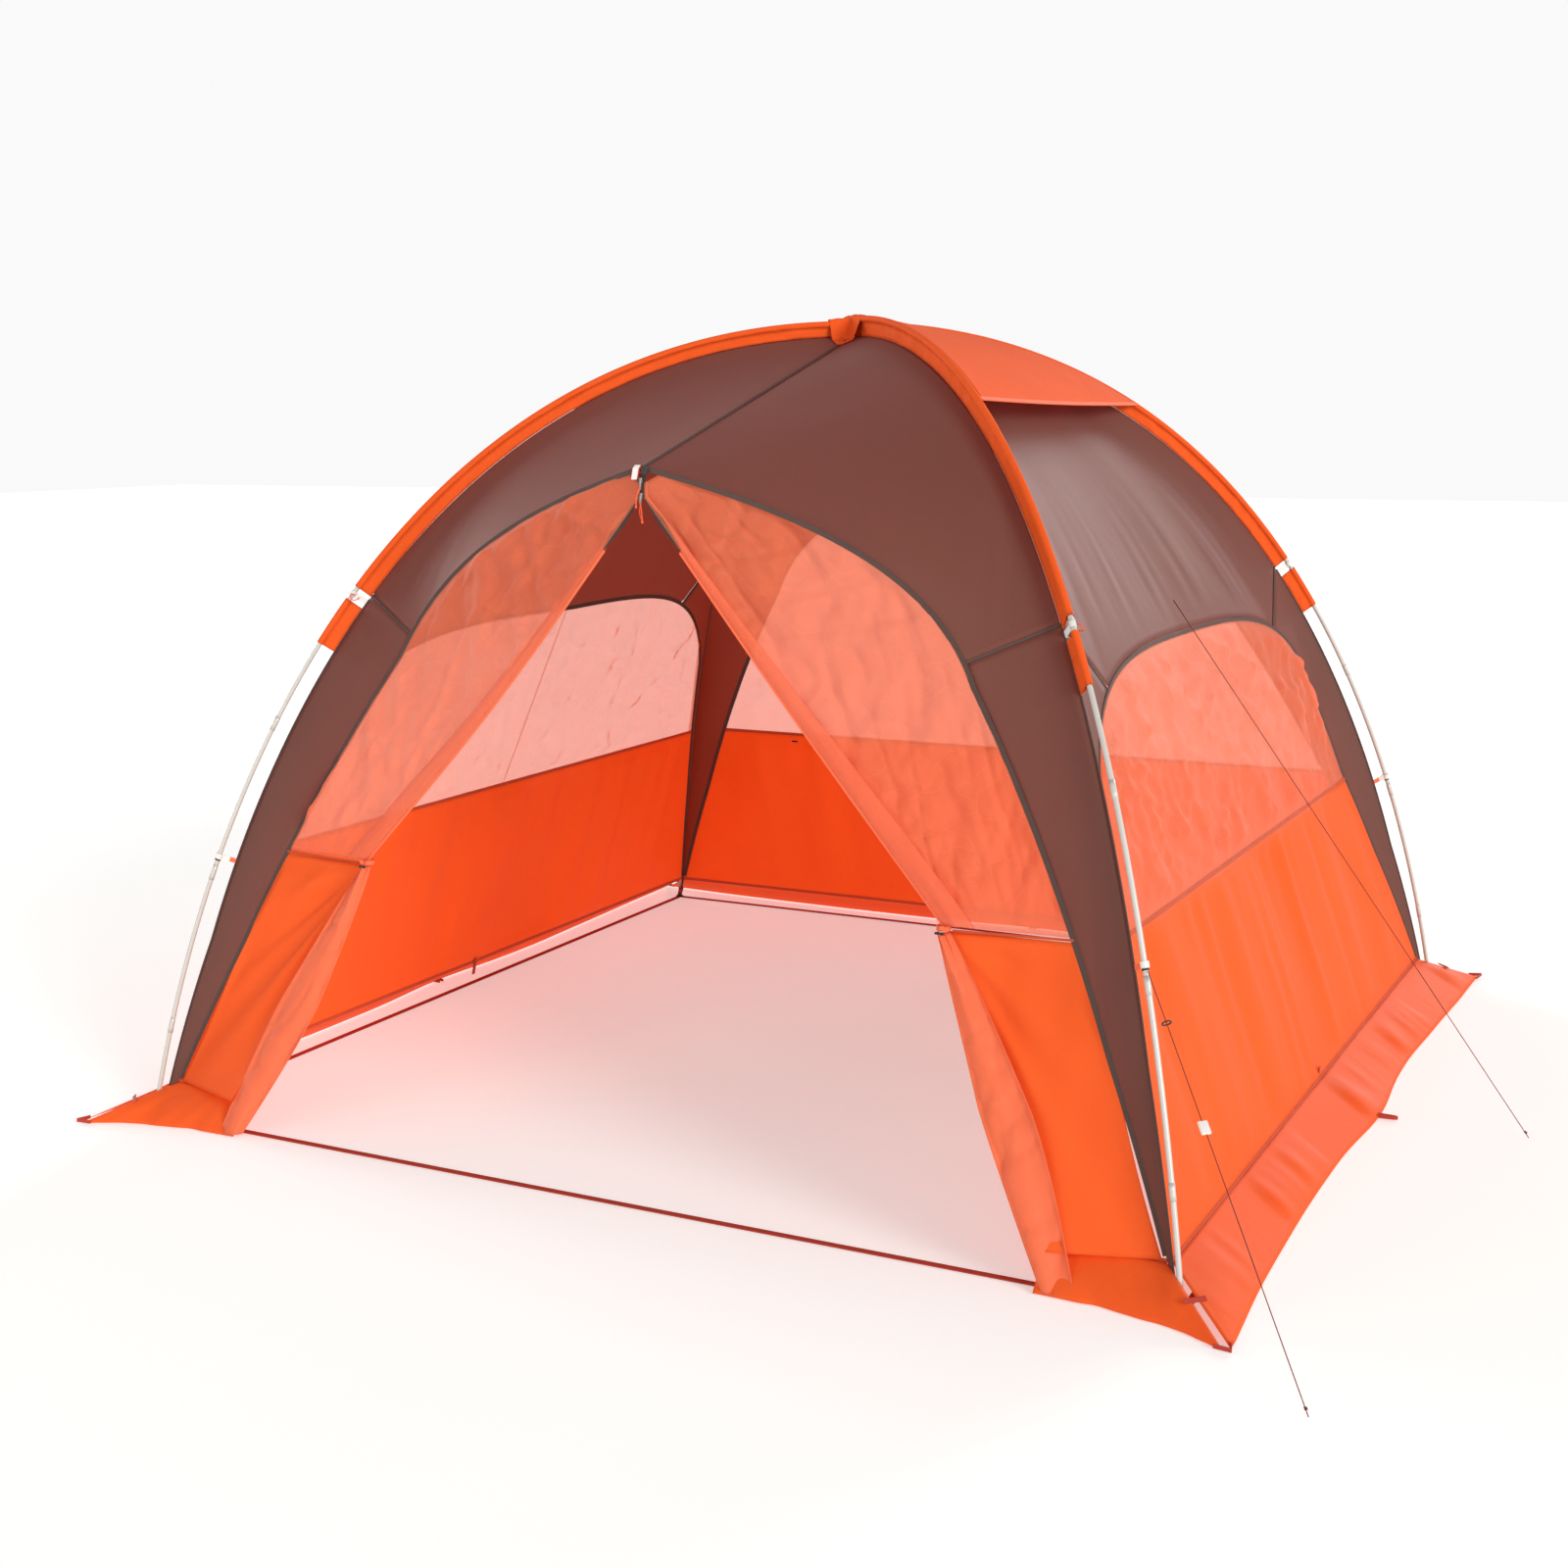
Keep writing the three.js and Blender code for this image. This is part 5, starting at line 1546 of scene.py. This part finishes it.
def pole_place(cv, corner, height):
    """A place on a pole, the way down it, and the way in to the cloth."""
    line = cv.poles[corner]
    k = int(np.abs(line[:, 1] - height).argmin())
    down = line[k + 1] - line[k - 1]
    down /= np.linalg.norm(down)
    return (on_diagonal(corner, q) for q in (line[k], down, np.array([down[1], -down[0]])))


CORD_RADIUS = 0.0015
CORD_LOOP = [  # in from the pole, to the side, and down it
    (0.006, 0.009, 0),
    (-0.006, 0.016, 0.006),
    (0.002, 0.026, 0.016),
    (0.014, 0.014, 0.010),
    (0.02, 0.003, 0),
]


def make_pole_tabs():
    """Straps that tie the cloth to each pole between the sleeves, and at the clips."""
    cv, s = curves(), sizes()
    for corner, (x, y) in CORNERS.items():
        place, down, inward = pole_place(cv, corner, 1.417)
        side = np.array([-y, x, 0]) / ROOT2
        band = lerp(place - down * 0.008, place + down * 0.008, np.linspace(0, 1, 4)[:, None])
        ring = round_ring(s.pole_radius + 0.0022, 18)
        lofted(f"sleeve_band_{corner}", band, ring, mat("tape_white"))
        tab = [place + inward * 0.009, place + inward * 0.047]
        strap(f"sleeve_tab_{corner}", tab, down, 0.016, mat("tape_white"))
        loop = [place + inward * a + side * b + down * c for a, b, c in CORD_LOOP]
        cord = round_ring(CORD_RADIUS, 8)
        lofted(f"sleeve_loop_{corner}", bent(loop, 6), cord, mat("cord_orange"))
        place, down, inward = pole_place(cv, corner, 0.714)
        tab = [place + inward * 0.026, place + inward * 0.050]
        strap(f"clip_tab_{corner}", tab, down, 0.013, mat("tape_orange"))
        band = lerp(place + down * 0.008, place + down * 0.0125, np.linspace(0, 1, 3)[:, None])
        ring = round_ring(s.pole_radius + 0.0018, 18)
        lofted(f"clip_stop_{corner}", band, ring, mat("black_nylon"))


def make_ground_fittings():
    """Straps at the pole feet, and stake loops at the corners and mid sides."""
    cv = curves()
    foot = TAPE_LINE
    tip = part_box("skirt_right")[1][0] - 0.001
    for corner, (x, y) in CORNERS.items():
        turn = np.array([x, y, 1.0])
        side = np.array([-y, x, 0]) / ROOT2
        toe = cv.seam(corner, [0.045])[0]
        end = np.array([x * (foot + 0.002), y * (foot + 0.002), 0.006])
        line = bent([toe, lerp(toe, end, 0.5) + (0, 0, 0.004), end], 8)
        strap(f"toe_strap_{corner}", line, side, 0.018, mat("tape_red"))
        near, far, height = foot + 0.018, foot + 0.056, 0.052
        across = [turn * (near, far, height), turn * (far, near, height)]
        strap(f"gap_strap_{corner}", across, (x, y, -1.2), 0.012, mat("tape_red"))
        vee = [turn * (tip - 0.035, tip - 0.003, 0.0055), turn * (tip - 0.002, tip + 0.004, 0.007),
               turn * (tip + 0.006, tip + 0.006, 0.007), turn * (tip + 0.004, tip - 0.002, 0.007),
               turn * (tip - 0.003, tip - 0.035, 0.0055)]
        strap(f"corner_loop_{corner}", bent(vee, 8), (0, 0, 1), 0.010, mat("tape_red"), count=40)
        make_eyelet(f"foot_eyelet_{corner}", np.array([x * foot, y * foot, 0.0037]))
    loops = [
        ("left", cv.side_flank, 0.034),
        ("right", cv.side_flank, 0.045),
        ("back", cv.door_flank, 0.012),
    ]
    hem, z = 1.578, 0.005  # the skirts' middle, out, and the loops' height
    for face, flank, far in loops:
        start, bend = hem - 0.03, hem + far * 0.7
        points = [(-0.010, start, z), (-0.006, bend, z), (0, hem + far, z)]
        points += [(0.006, bend, z), (0.010, start, z)]
        line = on_face(face, bent(points, 8))
        strap(f"stake_loop_{face}", line, (0, 0, 1), 0.009, mat("tape_red"), count=40)
        _, out, up = flank(sizes().base_seam)
        hanging = [(0, out - 0.003, up + 0.03), (0, out - 0.004, up), (0, out + 0.004, up - 0.045)]
        line, across = on_face(face, bent(hanging, 8)), on_face(face, np.array([1.0, 0, 0]))
        strap(f"seam_loop_{face}", line, across, 0.016, mat("tape_red"))


def make_eyelet(name, middle, inner=0.0066, outer=0.015, half=0.0011):
    """A flat moulded ring with slightly sloping sides."""
    vertices, faces = [], []
    count = 40
    for k in range(count):
        a = 2 * math.pi * k / count
        out = np.array([math.cos(a), math.sin(a), 0])
        for r, z in ((inner, -half), (outer, -half), (outer - 0.001, half), (inner + 0.001, half)):
            vertices.append(middle + out * r + (0, 0, z))
        n = ((k + 1) % count) * 4
        faces += [(4 * k + i, n + i, n + (i + 1) % 4, 4 * k + (i + 1) % 4) for i in range(4)]
    faces = facing_out(vertices, faces)
    piece = new_object(name, vertices, faces, mat("black_nylon"), smooth=False)
    dress(piece)


PEAK_STRAPS = [  # a white strap over the end of a red one, as offsets from the peak
    ("peak_strap_edge", 0.021, "tape_red",
     [(-0.012, 0.001, 0.005), (-0.014, -0.006, -0.002), (-0.019, -0.0065, -0.027)]),
    ("peak_strap", 0.015, "tape_white",
     [(-0.012, -0.001, 0.006), (-0.014, -0.0078, -0.001), (-0.019, -0.0085, -0.028)]),
]


def make_door_details():
    """Zip tapes, the strap and hook at the peak, and the band at each tie."""
    cv, s = curves(), sizes()
    for hand, side in (("left", -1), ("right", 1)):
        free, _ = door_lines(cv, s, side, 400)
        drop = s.peak_height - free[:, 2]
        closed = free[(drop > 0.012) & (drop < 0.075)] + (side * 0.004, -0.002, 0)
        tape(f"zip_tape_{hand}", along_line(closed, 20), (1, 0, 0), 0.009, 0.0026, mat("tape_zip_and_shadow"))
        # The parted zip casts a lens-shaped shadow. It is painted as a dark tape in the zip tape's
        # colour that swells and narrows along the edge.
        upper = free[(drop >= 0.072) & (drop < 0.20)] + (side * 0.006, -0.002, 0)
        down = upper[-1] - upper[0]
        across = np.cross(down, (0, 1, 0.1))
        count = 24
        width = 0.004 + 0.013 * np.sin(np.linspace(0, math.pi, count))
        lens_tape(f"zip_flap_{hand}", along_line(upper, count), across, width, mat("tape_zip_and_shadow"))
        lower = free[(drop >= 0.20) & (drop < s.peak_height - DOOR_TIE[2])] + (0, -0.002, 0)
        across = np.cross(lower[-1] - lower[0], (0, 1, 0.1))
        tape(f"zip_edge_{hand}", along_line(lower, 80), across, 0.006, 0.003, mat("tape_orange"))

        tie = on_face("front", DOOR_TIE, side)
        turns = np.linspace(0, 2 * math.pi, 30)
        wrap = [tie + (0.016 * math.cos(a), 0.016 * math.sin(a), -0.004) for a in turns]
        tape(f"tie_band_{hand}", np.array(wrap), (0, 0, 1), 0.011, 0.002, mat("tape_orange"))
        place = tie + (0.004 * side, -0.0228, 0.0)
        orange = mat("tape_orange")
        dress(rounded_block(f"tie_button_{hand}", (0.011, 0.005, 0.011), 0.0018, orange, place))
    peak = np.array([0, -s.peak_out, s.peak_height])
    for name, width, finish, line in PEAK_STRAPS:
        strap(name, [peak + offset for offset in line], (1, 0, 0), width, mat(finish))
    hook_place = peak + (0.012, -0.008, -0.008)
    dress(rounded_block("peak_hook", (0.013, 0.006, 0.019), 0.002, mat("black_nylon"), hook_place))


def lens_tape(name, path, across, widths, material):
    """A flat tape whose width swells and shrinks along it."""
    across = np.asarray(across, float) / np.linalg.norm(across)
    normal = np.cross(path[-1] - path[0], across)
    normal /= np.linalg.norm(normal)
    count = len(path)
    vertices = []
    for p, w in zip(path, widths):
        for a, b in ((-0.5, -1), (0.5, -1), (0.5, 1), (-0.5, 1)):
            vertices.append(p + across * a * w + normal * b * 0.0012)
    faces = [(0, 1, 2, 3), tuple(4 * count - 4 + i for i in (3, 2, 1, 0))]
    faces += [(a, d, c, b) for a, b, c, d in quads_round(count, 4)]
    uv = [(v[0], v[2]) for v in vertices]
    dress(new_object(name, vertices, facing_out(vertices, faces), material, uv, smooth=False))


# ---- Fittings that move ----------------------------------------------------
def make_zip():
    for name in ("upper", "lower"):
        for part, shape, size, radius in (
            ("slider", "body", (0.009, 0.005, 0.013), 0.0012),
            ("pull", "tag", (0.006, 0.0014, 0.022), 0.0006),
        ):
            node = f"zip_{part}_{name}"
            middle, metal = node_middle(node), mat("plated_steel")
            piece = rounded_block(f"{node}_{shape}", size, radius, metal, middle)
            dress(piece, f"{part}_{name}", (node,))
        make_pull_cord(name, middle - (0, 0.0022, 0.006), -0.010 if name == "upper" else 0.007)


def make_pull_cord(name, top, lean):
    """A loop of cord through a zip pull, ending in a knot."""
    end = top + (lean, -0.002, -0.046)
    path = bent([top, lerp(top, end, 0.4) + (lean * 0.3, -0.001, 0), end], 8)
    body, finish = f"pull_{name}", mat("cord_orange")
    cord = lofted(f"pull_cord_{name}", path, round_ring(CORD_RADIUS, 8), finish, body)
    other = bent([end, lerp(top, end, 0.5) + (-0.004, 0, 0), top + (0.0016, 0, -0.002)], 8)
    back = lofted(f"pull_cord_{name}_back", other, round_ring(0.0013, 8), finish, body)
    knot = rounded_block(f"pull_knot_{name}", (0.0058, 0.005, 0.007), 0.0022, finish, end)
    dress(knot, body)


def make_toggles():
    """Small barrels, narrower at the middle, where their cord goes round them."""
    for name in ("left", "right", "back"):
        middle = node_middle(f"door_toggle_{name}")
        xs = np.linspace(-0.0118, 0.0118, 24)
        path = middle + np.outer(xs, (1, 0, 0))
        waist = 1 - 0.25 * np.exp(-((xs / 0.003) ** 2))
        radii = 0.0034 * waist * (1 - np.abs(xs / 0.0125) ** 8)
        ring, node = round_ring(lambda k: radii[k], 14), f"door_toggle_{name}"
        lofted(f"{node}_barrel", path, ring, mat("black_nylon"), f"toggle_{name}", (node,))


def make_clips():
    """The leg clips keep their own solids, with the finish of moulded nylon."""
    for corner in CORNERS:
        node = frame["nodes"][f"leg_clip_{corner}"]
        node.data.materials.clear()
        node.data.materials.append(mat("white_nylon"))


# ---- The add-on ------------------------------------------------------------
def operator(label, about, *steps):
    """An operator class that runs the steps it is given."""
    key = label.lower().replace(" ", "_")

    def execute(self, context):
        for step in steps:
            step()
        return {"FINISHED"}

    name = "SHELTER_OT_" + key
    return type(name, (bpy.types.Operator,), {
        "bl_idname": f"shelter.{key}", "bl_label": label, "__doc__": about, "execute": execute,
    })


OPERATORS = [
    operator("Finishes", "Makes every material", make_materials),
    operator("Camera", "Places the camera", make_camera),
    operator("Guylines", "Makes the three guylines and what is on them", make_guylines),
    operator("Stage", "Makes the floor, the lights and the sky", make_stage),
    operator("Poles", "Makes both arch poles, their joints and tips", make_poles),
    operator("Sleeves", "Makes the pole sleeves", make_sleeves),
    operator(
        "Roof", "Makes the brown roof panels and both vent covers",
        make_door_roofs, make_side_roofs, make_vent_covers,
    ),
    operator("Legs", "Makes the corner leg panels", make_leg_panels),
    operator("Walls", "Makes the net windows, solid walls and skirts", make_walls, make_skirts),
    operator("Doors", "Makes both halves of the open front door", make_doors),
    operator(
        "Tapes", "Makes the ground tape, edge bindings and seam tapes",
        make_ground_tape, make_bindings, make_seams,
    ),
    operator(
        "Straps", "Makes the crest patch, straps and loops",
        make_crest_patch, make_pole_tabs, make_ground_fittings,
    ),
    operator("Door trim", "Makes the zip tapes, peak strap and ties", make_door_details),
    operator("Fittings", "Makes the zip, toggles and clips", make_zip, make_toggles, make_clips),
]


class SHELTER_PT_panel(bpy.types.Panel):
    """Lists the steps that build the shelter."""

    bl_label = "Screen shelter"
    bl_space_type = "VIEW_3D"
    bl_region_type = "UI"
    bl_category = "Shelter"

    def draw(self, context):
        for kind in OPERATORS:
            self.layout.operator(kind.bl_idname)


CLASSES = [ShelterSizes, ShelterColours, *OPERATORS, SHELTER_PT_panel]


def register():
    for kind in CLASSES:
        bpy.utils.register_class(kind)
    bpy.types.Scene.shelter_sizes = PointerProperty(type=ShelterSizes)
    bpy.types.Scene.shelter_colours = PointerProperty(type=ShelterColours)


def unregister():
    del bpy.types.Scene.shelter_colours
    del bpy.types.Scene.shelter_sizes
    for kind in reversed(CLASSES):
        bpy.utils.unregister_class(kind)


def main():
    register()
    for kind in OPERATORS:
        group, step = kind.bl_idname.split(".")
        getattr(getattr(bpy.ops, group), step)()


if __name__ == "__main__":
    main()
